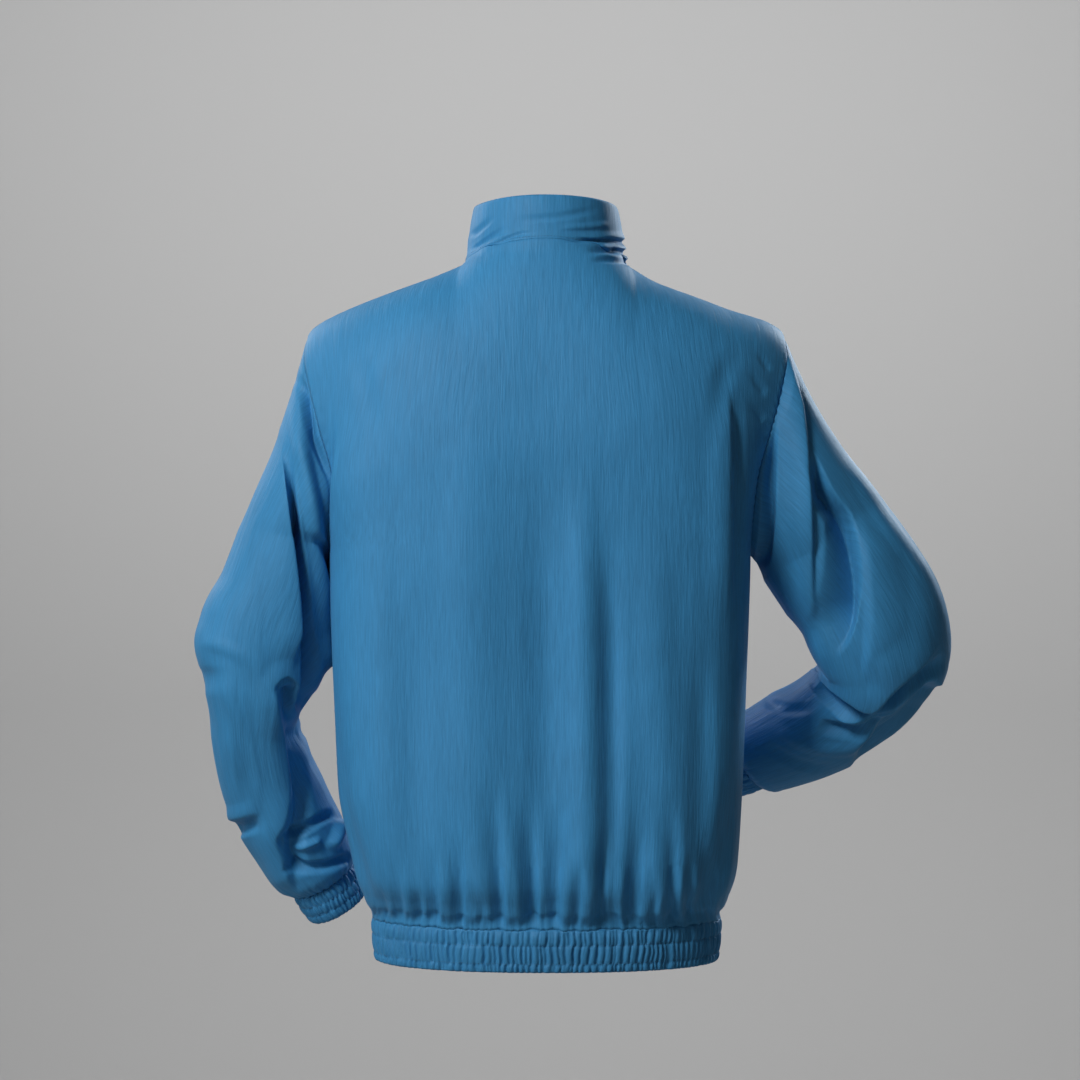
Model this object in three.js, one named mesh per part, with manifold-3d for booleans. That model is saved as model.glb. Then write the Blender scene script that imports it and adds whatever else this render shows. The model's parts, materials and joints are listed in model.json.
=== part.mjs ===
import * as THREE from 'three';
import { mergeVertices } from 'three/addons/utils/BufferGeometryUtils.js';
import Module from 'manifold-3d';

// Hip-length zip jacket with a stand collar, in millimetres, +Z up, front to -Y, the wearer's left to +X.
// Origin: middle of the neck, level with the back collar seam.
// Each cloth piece is a sheet between an outer surface and the same surface moved in by its wall.

const WALL = { body: 1.5, sleeve: 1.5, collar: 2.0, band: 2.4, cuff: 2.4 };
const TRIM = 0.2; // every piece ends this far short of its seam line, so two pieces stay 0.4 apart

// ---------- small maths ----------
const rad = (deg) => (deg * Math.PI) / 180;
const mix = (a, b, w) => a + (b - a) * w;
const clamp = (v, lo, hi) => Math.min(hi, Math.max(lo, v));
const ease = (w) => { const c = clamp(w, 0, 1); return c * c * (3 - 2 * c); };
const bell = (d) => (Math.abs(d) >= 1 ? 0 : (1 - d * d) ** 2);
const vec = (x = 0, y = 0, z = 0) => new THREE.Vector3(x, y, z);

// value of a named column at a place along a table, on a smooth curve that doesn't overshoot
function col(table, key, at) {
  const n = table.length;
  if (at <= table[0].at) return table[0][key];
  if (at >= table[n - 1].at) return table[n - 1][key];
  let k = 0;
  while (table[k + 1].at < at) k += 1;
  const slope = (i) => (table[i + 1][key] - table[i][key]) / (table[i + 1].at - table[i].at);
  const bend = (i) => {
    if (i === 0) return slope(0);
    if (i === n - 1) return slope(n - 2);
    const a = slope(i - 1);
    const b = slope(i);
    return a * b <= 0 ? 0 : (2 * a * b) / (a + b);
  };
  const h = table[k + 1].at - table[k].at;
  const w = (at - table[k].at) / h;
  const w2 = w * w;
  const w3 = w2 * w;
  return (2 * w3 - 3 * w2 + 1) * table[k][key] + (w3 - 2 * w2 + w) * h * bend(k)
    + (3 * w2 - 2 * w3) * table[k + 1][key] + (w3 - w2) * h * bend(k + 1);
}

// ---------- body ----------
// rows from the gather line over the hem band (0) by the underarm (0.5) to the shoulder seam (1)
// mid_*: height of the middle of the row; back, front: how far it stands from the middle plane;
// left, right: half widths; corner_*: how square the section is on that side
const BODY = [
  { at: 0.00, mid_back: -669, mid_front: -669, back: 116, front: 119, left: 174, right: 175, corner_left: 2.2, corner_right: 2.3, corner_front: 2.2 },
  { at: 0.03, mid_back: -654, mid_front: -654, back: 127, front: 122, left: 183, right: 183, corner_left: 2.4, corner_right: 2.6, corner_front: 2.3 },
  { at: 0.08, mid_back: -625, mid_front: -625, back: 134, front: 126, left: 190, right: 189, corner_left: 2.7, corner_right: 3.0, corner_front: 2.4 },
  { at: 0.20, mid_back: -545, mid_front: -545, back: 135, front: 133, left: 197, right: 194, corner_left: 3.0, corner_right: 3.6, corner_front: 2.5 },
  { at: 0.35, mid_back: -430, mid_front: -430, back: 133, front: 138, left: 203, right: 198, corner_left: 3.1, corner_right: 4.0, corner_front: 2.5 },
  { at: 0.50, mid_back: -305, mid_front: -305, back: 136, front: 142, left: 205, right: 202, corner_left: 3.1, corner_right: 4.0, corner_front: 2.4 },
  { at: 0.64, mid_back: -215, mid_front: -228, back: 136, front: 139, left: 205, right: 202, corner_left: 2.8, corner_right: 3.4, corner_front: 2.3 },
  { at: 0.74, mid_back: -150, mid_front: -165, back: 128, front: 129, left: 205, right: 202, corner_left: 2.4, corner_right: 2.6, corner_front: 2.2 },
  { at: 0.86, mid_back: -76, mid_front: -98, back: 108, front: 107, left: 205, right: 202, corner_left: 2.2, corner_right: 2.2, corner_front: 2.1 },
  { at: 1.00, mid_back: 0, mid_front: -42, back: 73, front: 82, left: 205, right: 202, corner_left: 2.0, corner_right: 2.0, corner_front: 2.0 },
];
// armhole edge from the underarm point to the shoulder point
const ARMHOLE = [
  { at: 0.50, out: 205, out_front: 205, reach_back: 0, reach_front: 0, z: -305 },
  { at: 0.535, out: 205, out_front: 203, reach_back: 32, reach_front: 34, z: -296 },
  { at: 0.58, out: 206, out_front: 199, reach_back: 52, reach_front: 54, z: -272 },
  { at: 0.65, out: 210, out_front: 200, reach_back: 63, reach_front: 64, z: -232 },
  { at: 0.74, out: 222, out_front: 211, reach_back: 63, reach_front: 61, z: -186 },
  { at: 0.83, out: 233, out_front: 225, reach_back: 52, reach_front: 50, z: -145 },
  { at: 0.92, out: 240, out_front: 236, reach_back: 30, reach_front: 30, z: -109 },
  { at: 1.00, out: 239, out_front: 239, reach_back: 0, reach_front: 0, z: -89 },
];
const UNDERARM = 0.5;
const SHOULDER = [ // height of the shoulder seam from the neck (0) to the armhole (1)
  { at: 0.00, z: -17 }, { at: 0.17, z: -29 }, { at: 0.48, z: -47 }, { at: 0.79, z: -66 }, { at: 0.95, z: -79 }, { at: 1.00, z: -89 },
];
const NECK = { share: 0.34, half: 79, side_y: -4, side_z: -17 }; // share: part of a panel's top edge that is neckline
const YOKE_FROM = 0.66; // row from which the panel starts to turn over the shoulder
const ZIP_HALF = 4.0; // half gap between the two front edges

// soft vertical drapes: side and place across (u), rows they run over, half width in u, depth (negative = trough)
const DRAPES = [
  { face: 1, side: -1, u: 0.30, from: 0.0, to: 0.40, strongest: 0.08, half: 0.085, depth: -8 },
  { face: 1, side: -1, u: 0.16, from: 0.0, to: 0.30, strongest: 0.07, half: 0.080, depth: 4 },
  { face: 1, side: -1, u: 0.58, from: 0.0, to: 0.26, strongest: 0.07, half: 0.090, depth: -6 },
  { face: 1, side: 1, u: 0.26, from: 0.0, to: 0.26, strongest: 0.07, half: 0.085, depth: -6 },
  { face: 1, side: 1, u: 0.70, from: 0.0, to: 0.40, strongest: 0.10, half: 0.110, depth: -5 },
  { face: -1, side: 1, u: 0.42, from: 0.0, to: 0.32, strongest: 0.08, half: 0.100, depth: -6 },
  { face: -1, side: 1, u: 0.72, from: 0.0, to: 0.28, strongest: 0.08, half: 0.090, depth: -5 },
  { face: -1, side: -1, u: 0.36, from: 0.0, to: 0.28, strongest: 0.08, half: 0.090, depth: -6 },
  { face: -1, side: -1, u: 0.66, from: 0.0, to: 0.36, strongest: 0.09, half: 0.110, depth: -6 },
];

const zipShift = (u) => ZIP_HALF * Math.max(0, 1 - u / NECK.share) ** 2;

function armholePoint(face, side, t) {
  const back = col(ARMHOLE, 'out', t);
  const x = face > 0 ? back : col(ARMHOLE, 'out_front', t);
  const less = side > 0 ? 0 : 3 * (1 - (t - UNDERARM) / (1 - UNDERARM));
  return vec(side * (x - less), face * col(ARMHOLE, face > 0 ? 'reach_back' : 'reach_front', t), col(ARMHOLE, 'z', t));
}

function topPoint(face, side, u) {
  if (u <= NECK.share) {
    const a = rad(90 * (u / NECK.share));
    const reach = face > 0 ? col(BODY, 'back', 1) - NECK.side_y : col(BODY, 'front', 1) + NECK.side_y;
    const mid = face > 0 ? 0 : -42;
    const extra = face < 0 ? zipShift(u) : 0;
    return vec(side * (NECK.half * Math.sin(a) + extra), NECK.side_y + face * reach * Math.cos(a),
      mix(NECK.side_z, mid, Math.cos(a) ** 1.4));
  }
  const v = (u - NECK.share) / (1 - NECK.share);
  return vec(side * mix(NECK.half, 239, v), mix(NECK.side_y, 0, v), col(SHOULDER, 'z', v));
}

function bodyPoint(face, side, u, t) {
  if (t > 1 - 1e-9) return topPoint(face, side, u);
  const width = col(BODY, side > 0 ? 'left' : 'right', t);
  const power = col(BODY, face < 0 ? 'corner_front' : (side > 0 ? 'corner_left' : 'corner_right'), t);
  const edge = t <= UNDERARM ? vec(side * width, 0, col(BODY, 'mid_back', t)) : armholePoint(face, side, t);
  const midY = face * col(BODY, face > 0 ? 'back' : 'front', t);
  const midZ = col(BODY, face > 0 ? 'mid_back' : 'mid_front', t);
  // the section is a rounded rectangle; above the underarm it stops where it meets the armhole
  const reach = clamp(edge.y / midY, 0, 1);
  const sweep = Math.atan2((1 - reach ** power) ** (1 / power), reach);
  const on = (a) => {
    const s = Math.sin(a);
    const c = Math.max(0, Math.cos(a));
    const l = (s ** power + c ** power) ** (1 / power);
    return [s / l, c / l];
  };
  const [sinA, cosA] = on(u * sweep);
  const [sinM] = on(sweep);
  const p = vec(edge.x * (sinA / sinM), midY * cosA, mix(midZ, edge.z, u * u));
  const turn = clamp((t - YOKE_FROM) / (1 - YOKE_FROM), 0, 1);
  if (turn > 0) {
    const top = topPoint(face, side, u);
    const hold = (1 - u ** (6 + 40 * turn ** 3)) * mix(ease(u / 0.5), 1, turn ** 3);
    p.x = mix(p.x, top.x, ease(turn) * hold);
    p.y = mix(p.y, top.y, (1 - Math.cos(rad(90 * turn))) * hold);
    p.z = mix(p.z, top.z, Math.sin(rad(90 * turn)) * hold);
  }
  if (face < 0) p.x += side * zipShift(u) * (1 - turn ** 2);
  let push = 0;
  for (const d of DRAPES) {
    if (d.face !== face || t < d.from || t > d.to) continue;
    const across = d.side === side ? u - d.u : u + d.u;
    const along = t < d.strongest ? ease((t - d.from) / (d.strongest - d.from)) : ease((d.to - t) / (d.to - d.strongest));
    push += d.depth * bell(across / d.half) * along;
  }
  if (push !== 0) {
    const out = vec(p.x * 0.45, p.y, 0).normalize();
    p.addScaledVector(out, push);
  }
  return p;
}

// ---------- sleeves ----------
// rings along the arm: middle of the ring, half widths out (wide) and front to back (deep),
// pinch: how far the ring is drawn in on its inner side
const SLEEVE_LEFT = [
  { at: 0.00, x: 258, y: 0, z: -293, wide: 52, deep: 66, pinch: 0 },
  { at: 0.13, x: 269, y: 3, z: -340, wide: 57, deep: 65, pinch: 0 },
  { at: 0.27, x: 282, y: 4, z: -388, wide: 66, deep: 64, pinch: 0 },
  { at: 0.38, x: 284, y: 0, z: -428, wide: 61, deep: 62, pinch: 2 },
  { at: 0.51, x: 288, y: -14, z: -474, wide: 49, deep: 57, pinch: 9 },
  { at: 0.63, x: 284, y: -30, z: -516, wide: 49, deep: 54, pinch: 2 },
  { at: 0.75, x: 272, y: -46, z: -556, wide: 51, deep: 52, pinch: 0 },
  { at: 0.88, x: 252, y: -60, z: -596, wide: 49, deep: 49, pinch: 0 },
  { at: 0.96, x: 237, y: -67, z: -623, wide: 45, deep: 45, pinch: 0 },
  { at: 1.00, x: 228, y: -72, z: -639, wide: 35, deep: 36, pinch: 0 },
];
const SLEEVE_RIGHT = [
  { at: 0.00, x: -277, y: 0, z: -292, wide: 72, deep: 66, pinch: 0 },
  { at: 0.12, x: -306, y: 2, z: -334, wide: 73, deep: 66, pinch: 0 },
  { at: 0.24, x: -329, y: 0, z: -372, wide: 72, deep: 66, pinch: 0 },
  { at: 0.36, x: -338, y: -14, z: -406, wide: 68, deep: 65, pinch: 3 },
  { at: 0.48, x: -327, y: -40, z: -437, wide: 62, deep: 62, pinch: 5 },
  { at: 0.60, x: -305, y: -64, z: -462, wide: 56, deep: 58, pinch: 2 },
  { at: 0.74, x: -275, y: -88, z: -484, wide: 52, deep: 54, pinch: 0 },
  { at: 0.88, x: -243, y: -109, z: -502, wide: 47, deep: 49, pinch: 0 },
  { at: 0.96, x: -225, y: -120, z: -511, wide: 44, deep: 45, pinch: 0 },
  { at: 1.00, x: -215, y: -126, z: -516, wide: 35, deep: 36, pinch: 0 },
];
const CUFF = { long: 33, half: 33, deep: 34 };
const CAP_FULL = 9; // how far the sleeve head stands out beside the armhole
const CAP_RINGS = [0.22, 0.45, 0.70]; // rings between the armhole and the first full ring
const ARM_RINGS = [0.0, 0.09, 0.18, 0.26, 0.34, 0.42, 0.5, 0.58, 0.67, 0.76, 0.85, 0.92, 0.97, 1.0];

// frames along the arm that don't twist: out direction carried from ring to ring
function armFrames(table, side) {
  const steps = 120;
  const mid = (a) => vec(col(table, 'x', a), col(table, 'y', a), col(table, 'z', a));
  const along = (a) => mid(Math.min(1, a + 0.03)).sub(mid(Math.max(0, a - 0.03))).normalize();
  const frames = [];
  let out = vec(side, 0, 0.25);
  for (let i = 0; i <= steps; i += 1) {
    const a = i / steps;
    const d = along(a);
    out = out.clone().addScaledVector(d, -out.dot(d)).normalize();
    frames.push({ mid: mid(a), along: d, out, rear: out.clone().cross(d).multiplyScalar(side) });
  }
  return (a) => {
    const k = clamp(a, 0, 1) * steps;
    const i = Math.min(steps - 1, Math.floor(k));
    const w = k - i;
    const f = frames[i];
    const g = frames[i + 1];
    return {
      mid: f.mid.clone().lerp(g.mid, w), along: f.along.clone().lerp(g.along, w).normalize(),
      out: f.out.clone().lerp(g.out, w).normalize(), rear: f.rear.clone().lerp(g.rear, w).normalize(),
    };
  };
}
const armFrame = { 1: armFrames(SLEEVE_LEFT, 1), '-1': armFrames(SLEEVE_RIGHT, -1) };

// rows of the panels above the underarm, which are also the places around a sleeve
const ROWS_LOW = [0, 0.03, 0.065, 0.11, 0.17, 0.24, 0.31, 0.38, 0.44, 0.5];
const ROWS_HIGH = [0.53, 0.57, 0.61, 0.66, 0.71, 0.76, 0.81, 0.86, 0.91, 0.958, 1];
const ROWS = [...ROWS_LOW, ...ROWS_HIGH];
// turn: 0 at the shoulder point, 0.25 at the back, 0.5 at the underarm, 0.75 at the front
const AROUND = [];
for (let k = ROWS_HIGH.length - 1; k >= 0; k -= 1) AROUND.push({ face: 1, t: ROWS_HIGH[k] });
AROUND.push({ face: 1, t: UNDERARM });
for (let k = 0; k < ROWS_HIGH.length - 1; k += 1) AROUND.push({ face: -1, t: ROWS_HIGH[k] });
const TURN = [ // row of the panel -> turn round the sleeve, half a turn on each face
  { at: 0.50, turn: 0.500 }, { at: 0.57, turn: 0.390 }, { at: 0.65, turn: 0.290 }, { at: 0.74, turn: 0.215 },
  { at: 0.83, turn: 0.140 }, { at: 0.92, turn: 0.065 }, { at: 1.00, turn: 0.000 },
];
const roundOf = (face, t) => (face > 0 ? col(TURN, 'turn', t) : 1 - col(TURN, 'turn', t));

function ringPoint(side, turn, a) {
  const table = side > 0 ? SLEEVE_LEFT : SLEEVE_RIGHT;
  const f = armFrame[side](a);
  const ang = 2 * Math.PI * turn;
  const inner = bell((turn - 0.5) / 0.22) * col(table, 'pinch', a);
  const wide = col(table, 'wide', a);
  return f.mid.clone().addScaledVector(f.out, wide * Math.cos(ang) + inner).addScaledVector(f.rear, col(table, 'deep', a) * Math.sin(ang));
}

// from the armhole (cap 0) to the first full ring (cap 1)
function capPoint(side, place, cap) {
  const from = armholePoint(place.face, side, place.t);
  const to = ringPoint(side, roundOf(place.face, place.t), 0);
  const p = from.lerp(to, cap);
  const high = Math.cos(2 * Math.PI * roundOf(place.face, place.t));
  const bow = (side > 0 ? 2 : -6) * Math.max(0, high) * Math.sin(Math.PI * cap);
  p.x += side * (bow + 1.8 * Math.max(0, -high) ** 4 * Math.sin(Math.PI * cap));
  const full = CAP_FULL * Math.sin(Math.PI * cap) * Math.abs(Math.sin(2 * Math.PI * roundOf(place.face, place.t))) ** 0.6;
  p.x += side * full * 0.6;
  p.y += place.face * full * 0.8;
  return p;
}

// ---------- collar, hem band ----------
const COLLAR = { back_top: 46, side_top: 40, front_top: 12, half_top: 72, back_reach: 69, front_reach: 76 };
function collarPoint(angle, v) { // angle 0 at the back, + towards the wearer's left, 180 at the front
  const side = angle < 0 ? -1 : 1;
  const deg = Math.abs(angle);
  const face = deg <= 90 ? 1 : -1;
  const u = NECK.share * (face > 0 ? deg / 90 : (180 - deg) / 90);
  const base = topPoint(face, side, u);
  const a = rad(deg);
  const reach = face > 0 ? COLLAR.back_reach : COLLAR.front_reach;
  const extra = face < 0 ? zipShift(u) : 0;
  const crown = face > 0 ? COLLAR.back_top : COLLAR.front_top;
  const top = vec(side * (COLLAR.half_top * Math.sin(a) + extra), reach * Math.cos(a) - 1,
    mix(COLLAR.side_top, crown, Math.abs(Math.cos(a)) ** 1.5));
  const p = base.lerp(top, v);
  const out = vec(p.x, p.y, 0).normalize();
  return p.addScaledVector(out, 1.6 * Math.sin(Math.PI * v));
}

const BAND = { top: -669, bottom: -709, draw_in: 3 };
function bandPoint(face, side, u, v) { // v 0 at the gather line, 1 at the bottom edge
  const p = bodyPoint(face, side, u, 0);
  const out = vec(p.x, p.y, 0).normalize();
  p.z = mix(BAND.top, BAND.bottom, v);
  return p.addScaledVector(out, -BAND.draw_in * Math.sin(Math.PI * 0.5 * v) + 1.5 * Math.sin(Math.PI * v));
}

// ---------- sheets to solids ----------
const natural = new Map(); // seam point -> sum of the outward directions of the pieces that meet there
const keyOf = (p) => [p.x, p.y, p.z].map((v) => Math.round(v * 100)).join();
const pieces = [];

// grid[i][j]: outer surface; loop: j runs round; seams: which edges are sewn to a neighbour (lo/hi rows, lo/hi columns)
function piece(name, grid, { wall, loop = false, flip = false, level = [] }) {
  const rows = grid.length;
  const cols = grid[0].length;
  const at = (i, j) => grid[clamp(i, 0, rows - 1)][loop ? (j + cols) % cols : clamp(j, 0, cols - 1)];
  const dirs = grid.map((row, i) => row.map((p, j) => {
    const n = at(i, j + 1).clone().sub(at(i, j - 1)).cross(at(i + 1, j).clone().sub(at(i - 1, j)));
    if (n.lengthSq() < 1e-12) n.set(0, 0, 1);
    n.normalize().multiplyScalar(flip ? -1 : 1);
    return n;
  }));
  for (const i of level) dirs[i].forEach((n) => { n.z = 0; n.normalize(); });
  const edge = (i, j) => i === 0 || i === rows - 1 || (!loop && (j === 0 || j === cols - 1));
  grid.forEach((row, i) => row.forEach((p, j) => {
    if (!edge(i, j)) return;
    const key = keyOf(p);
    const sum = natural.get(key) ?? vec(0, 0, 0);
    natural.set(key, sum.add(dirs[i][j]));
  }));
  pieces.push({ name, grid, dirs, wall, loop, flip, rows, cols, edge });
}

function solid({ name, grid, dirs, wall, loop, flip, rows, cols, edge }) {
  const outer = [];
  const inner = [];
  const step = (p, q, by) => q.clone().sub(p).normalize().multiplyScalar(by);
  for (let i = 0; i < rows; i += 1) {
    for (let j = 0; j < cols; j += 1) {
      const p = grid[i][j].clone();
      let n = dirs[i][j];
      if (edge(i, j)) {
        const sum = natural.get(keyOf(grid[i][j]));
        n = sum.length() > 0.25 ? sum.clone().normalize() : vec(0, 0, -1);
        if (i === 0) p.add(step(grid[0][j], grid[1][j], TRIM));
        if (i === rows - 1) p.add(step(grid[i][j], grid[i - 1][j], TRIM));
        if (!loop && j === 0) p.add(step(grid[i][0], grid[i][1], TRIM));
        if (!loop && j === cols - 1) p.add(step(grid[i][j], grid[i][j - 1], TRIM));
      }
      outer.push(p);
      inner.push(p.clone().addScaledVector(n, -wall));
    }
  }
  const all = [...outer, ...inner];
  const base = outer.length;
  const tri = [];
  const quad = (a, b, c, d) => { // along the shorter diagonal
    if (all[a].distanceToSquared(all[c]) <= all[b].distanceToSquared(all[d])) tri.push(a, b, c, a, c, d);
    else tri.push(a, b, d, b, c, d);
  };
  const id = (i, j) => i * cols + (loop ? j % cols : j);
  const lastCol = loop ? cols : cols - 1;
  for (let i = 0; i < rows - 1; i += 1) {
    for (let j = 0; j < lastCol; j += 1) {
      const [a, b, c, d] = [id(i, j), id(i, j + 1), id(i + 1, j + 1), id(i + 1, j)];
      quad(a, b, c, d);
      quad(base + d, base + c, base + b, base + a);
    }
  }
  for (let j = 0; j < lastCol; j += 1) {
    quad(id(0, j + 1), id(0, j), base + id(0, j), base + id(0, j + 1));
    quad(id(rows - 1, j), id(rows - 1, j + 1), base + id(rows - 1, j + 1), base + id(rows - 1, j));
  }
  if (!loop) {
    for (let i = 0; i < rows - 1; i += 1) {
      quad(id(i, 0), id(i + 1, 0), base + id(i + 1, 0), base + id(i, 0));
      quad(id(i + 1, cols - 1), id(i, cols - 1), base + id(i, cols - 1), base + id(i + 1, cols - 1));
    }
  }
  if (flip) for (let k = 0; k < tri.length; k += 3) [tri[k + 1], tri[k + 2]] = [tri[k + 2], tri[k + 1]];
  return meshOf(name, all, tri);
}

const COLOURS = { cloth: 0x3d7aa6, rib: 0x35709b, tape: 0x2c5f86, chain: 0x2a5a80, metal: 0x30617f };
function meshOf(name, points, tri) {
  const geometry = new THREE.BufferGeometry();
  geometry.setAttribute('position', new THREE.Float32BufferAttribute(points.flatMap((p) => [p.x, p.y, p.z]), 3));
  geometry.setIndex(tri);
  geometry.computeVertexNormals();
  const kind = /band|cuff/.test(name) ? 'rib' : /tape/.test(name) ? 'tape' : /chain/.test(name) ? 'chain' : /slider|pull/.test(name) ? 'metal' : 'cloth';
  const mesh = new THREE.Mesh(geometry, new THREE.MeshStandardMaterial({ color: COLOURS[kind], roughness: kind === 'metal' ? 0.4 : 0.7, metalness: kind === 'metal' ? 0.6 : 0 }));
  mesh.name = name;
  return mesh;
}

// ---------- cloth pieces ----------
const neckCols = [0, 1, 2, 3, 4, 5, 6].map((k) => (NECK.share * k) / 6);
const bodyCols = [...neckCols, 0.42, 0.5, 0.59, 0.68, 0.77, 0.85, 0.93, 1];
const backCols = [...bodyCols.slice(1).reverse().map((u) => -u), ...bodyCols];

piece('back_panel', ROWS.map((t) => backCols.map((s) => bodyPoint(1, s < 0 ? -1 : 1, Math.abs(s), t))), { wall: WALL.body, flip: true });
for (const [name, side] of [['front_left', 1], ['front_right', -1]]) {
  piece(name, ROWS.map((t) => bodyCols.map((u) => bodyPoint(-1, side, u, t))), { wall: WALL.body, flip: side < 0 });
}
for (const [name, side] of [['left', 1], ['right', -1]]) {
  const turns = AROUND.map((place) => roundOf(place.face, place.t));
  const rings = [AROUND.map((place) => armholePoint(place.face, side, place.t))];
  for (const cap of CAP_RINGS) rings.push(AROUND.map((place) => capPoint(side, place, cap)));
  for (const a of ARM_RINGS) rings.push(turns.map((turn) => ringPoint(side, turn, a)));
  piece(`sleeve_${name}`, rings, { wall: WALL.sleeve, loop: true, flip: side > 0 });
  const f = armFrame[side](1);
  const last = rings[rings.length - 1];
  const cuffRing = (v) => last.map((p) => {
    const off = p.clone().sub(f.mid);
    const size = mix(1, CUFF.half / 35, v) + 0.04 * Math.sin(Math.PI * v);
    return f.mid.clone().addScaledVector(f.along, CUFF.long * v).addScaledVector(off, size);
  });
  piece(`cuff_${name}`, [0, 0.5, 1].map(cuffRing), { wall: WALL.cuff, loop: true, flip: side > 0 });
}
const collarAngles = [];
for (let k = -12; k <= 12; k += 1) collarAngles.push(k * 15);
collarAngles[0] = -180 + 1e-9;
piece('collar', [0, 0.25, 0.5, 0.75, 1].map((v) => collarAngles.map((a) => collarPoint(a, v))), { wall: WALL.collar, flip: true });

const bandCols = [];
for (const u of bodyCols) bandCols.push({ face: -1, side: -1, u });
for (const u of [...bodyCols].reverse().slice(1)) bandCols.push({ face: 1, side: -1, u });
for (const u of bodyCols.slice(1)) bandCols.push({ face: 1, side: 1, u });
for (const u of [...bodyCols].reverse().slice(1)) bandCols.push({ face: -1, side: 1, u });
piece('hem_band', [1, 0.5, 0].map((v) => bandCols.map((c) => bandPoint(c.face, c.side, c.u, v))), { wall: WALL.band, flip: true });

// ---------- zip ----------
// line of the front edge from the bottom of the band to the top of the collar, in the middle plane
const zipLine = [];
for (const v of [1, 0.5]) { const p = bandPoint(-1, 1, 0, v); zipLine.push(vec(0, p.y, p.z)); }
for (const t of ROWS) { const p = bodyPoint(-1, 1, 0, t); zipLine.push(vec(0, p.y, p.z)); }
for (const v of [0.25, 0.5, 0.75, 1]) { const p = collarPoint(180 - 1e-9, v); zipLine.push(vec(0, p.y, p.z)); }
const zipCurve = new THREE.CatmullRomCurve3(zipLine, false, 'centripetal');

function strip(name, x0, x1, depth0, depth1, from, to, count) {
  const points = [];
  for (let k = 0; k <= count; k += 1) {
    const s = mix(from, to, k / count);
    const p = zipCurve.getPointAt(s);
    const d = zipCurve.getTangentAt(s);
    const inward = vec(0, d.z, -d.y).normalize();
    for (const [x, depth] of [[x0, depth0], [x1, depth0], [x1, depth1], [x0, depth1]]) points.push(p.clone().addScaledVector(inward, depth).add(vec(x, 0, 0)));
  }
  const tri = [];
  for (let k = 0; k < count; k += 1) {
    for (let c = 0; c < 4; c += 1) {
      const a = k * 4 + c;
      const b = k * 4 + ((c + 1) % 4);
      tri.push(a, b, b + 4, a, b + 4, a + 4);
    }
  }
  tri.push(0, 2, 1, 0, 3, 2);
  const e = count * 4;
  tri.push(e, e + 1, e + 2, e, e + 2, e + 3);
  return meshOf(name, points, tri);
}

const ZIP = { tape_in: 3.2, tape_out: 9.5, tape_depth: 4.3, tape_thick: 0.8, chain_half: 2.7, chain_depth: 0.3, chain_thick: 2.2, slider_at: 0.985 };

const jacket = new THREE.Group();
jacket.name = 'jacket';
for (const p of pieces) jacket.add(solid(p));

const total = zipCurve.getLength();
const top = zipCurve.getPointAt(ZIP.slider_at);
const topDir = zipCurve.getTangentAt(ZIP.slider_at);
jacket.add(strip('zip_tape_left', ZIP.tape_in, ZIP.tape_out, ZIP.tape_depth, ZIP.tape_depth + ZIP.tape_thick, 1.2 / total, 1 - 1.2 / total, 30));
jacket.add(strip('zip_tape_right', -ZIP.tape_out, -ZIP.tape_in, ZIP.tape_depth, ZIP.tape_depth + ZIP.tape_thick, 1.2 / total, 1 - 1.2 / total, 30));

// slider: two plates round the chain, joined by a wedge above its end, with a bridge in front for the pull
const SLIDER = { half: 4.4, long: 11, plate: 1.2, front_gap: 0.5, rear_depth: 5.5, wedge_half: 1.5, wedge_long: 3, bridge_half: 1.0, bridge_gap: 2.2, bridge_thick: 1.0, bridge_long: 7.0 };
jacket.add(strip('zip_chain', -ZIP.chain_half, ZIP.chain_half, ZIP.chain_depth, ZIP.chain_depth + ZIP.chain_thick, 0.6 / total, ZIP.slider_at + (SLIDER.long / 2 - SLIDER.wedge_long - 0.9) / total, 30));

// local frame of the slider: x across, up along the zip, out away from the cloth
const up = topDir.clone().normalize();
const outDir = vec(0, -up.z, up.y);
const sliderFrame = new THREE.Matrix4().makeBasis(up.clone().cross(outDir), up, outDir).setPosition(top);
jacket.userData.slider = { top: top.toArray(), up: up.toArray(), out: outDir.toArray() };

const wasm = await Module();
wasm.setup();
const { Manifold } = wasm;

function toManifold(geometry) {
  const g = geometry.clone();
  g.deleteAttribute('normal');
  g.deleteAttribute('uv');
  const merged = mergeVertices(g, 1e-4);
  const solidMesh = new wasm.Mesh({ numProp: 3, vertProperties: new Float32Array(merged.attributes.position.array), triVerts: new Uint32Array(merged.index.array) });
  return new Manifold(solidMesh);
}
function roundedShape(half, y0, y1, r) {
  const s = new THREE.Shape();
  s.moveTo(-half + r, y0);
  s.lineTo(half - r, y0);
  s.absarc(half - r, y0 + r, r, -Math.PI / 2, 0, false);
  s.lineTo(half, y1 - r);
  s.absarc(half - r, y1 - r, r, 0, Math.PI / 2, false);
  s.lineTo(-half + r, y1);
  s.absarc(-half + r, y1 - r, r, Math.PI / 2, Math.PI, false);
  s.lineTo(-half, y0 + r);
  s.absarc(-half + r, y0 + r, r, Math.PI, Math.PI * 1.5, false);
  return s;
}
const boxOf = (x0, x1, y0, y1, z0, z1) => new THREE.BoxGeometry(x1 - x0, y1 - y0, z1 - z0).translate((x0 + x1) / 2, (y0 + y1) / 2, (z0 + z1) / 2);
const slab = (shape, z0, z1) => new THREE.ExtrudeGeometry(shape, { depth: z1 - z0, bevelEnabled: false, curveSegments: 5 }).translate(0, 0, z0);

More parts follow.
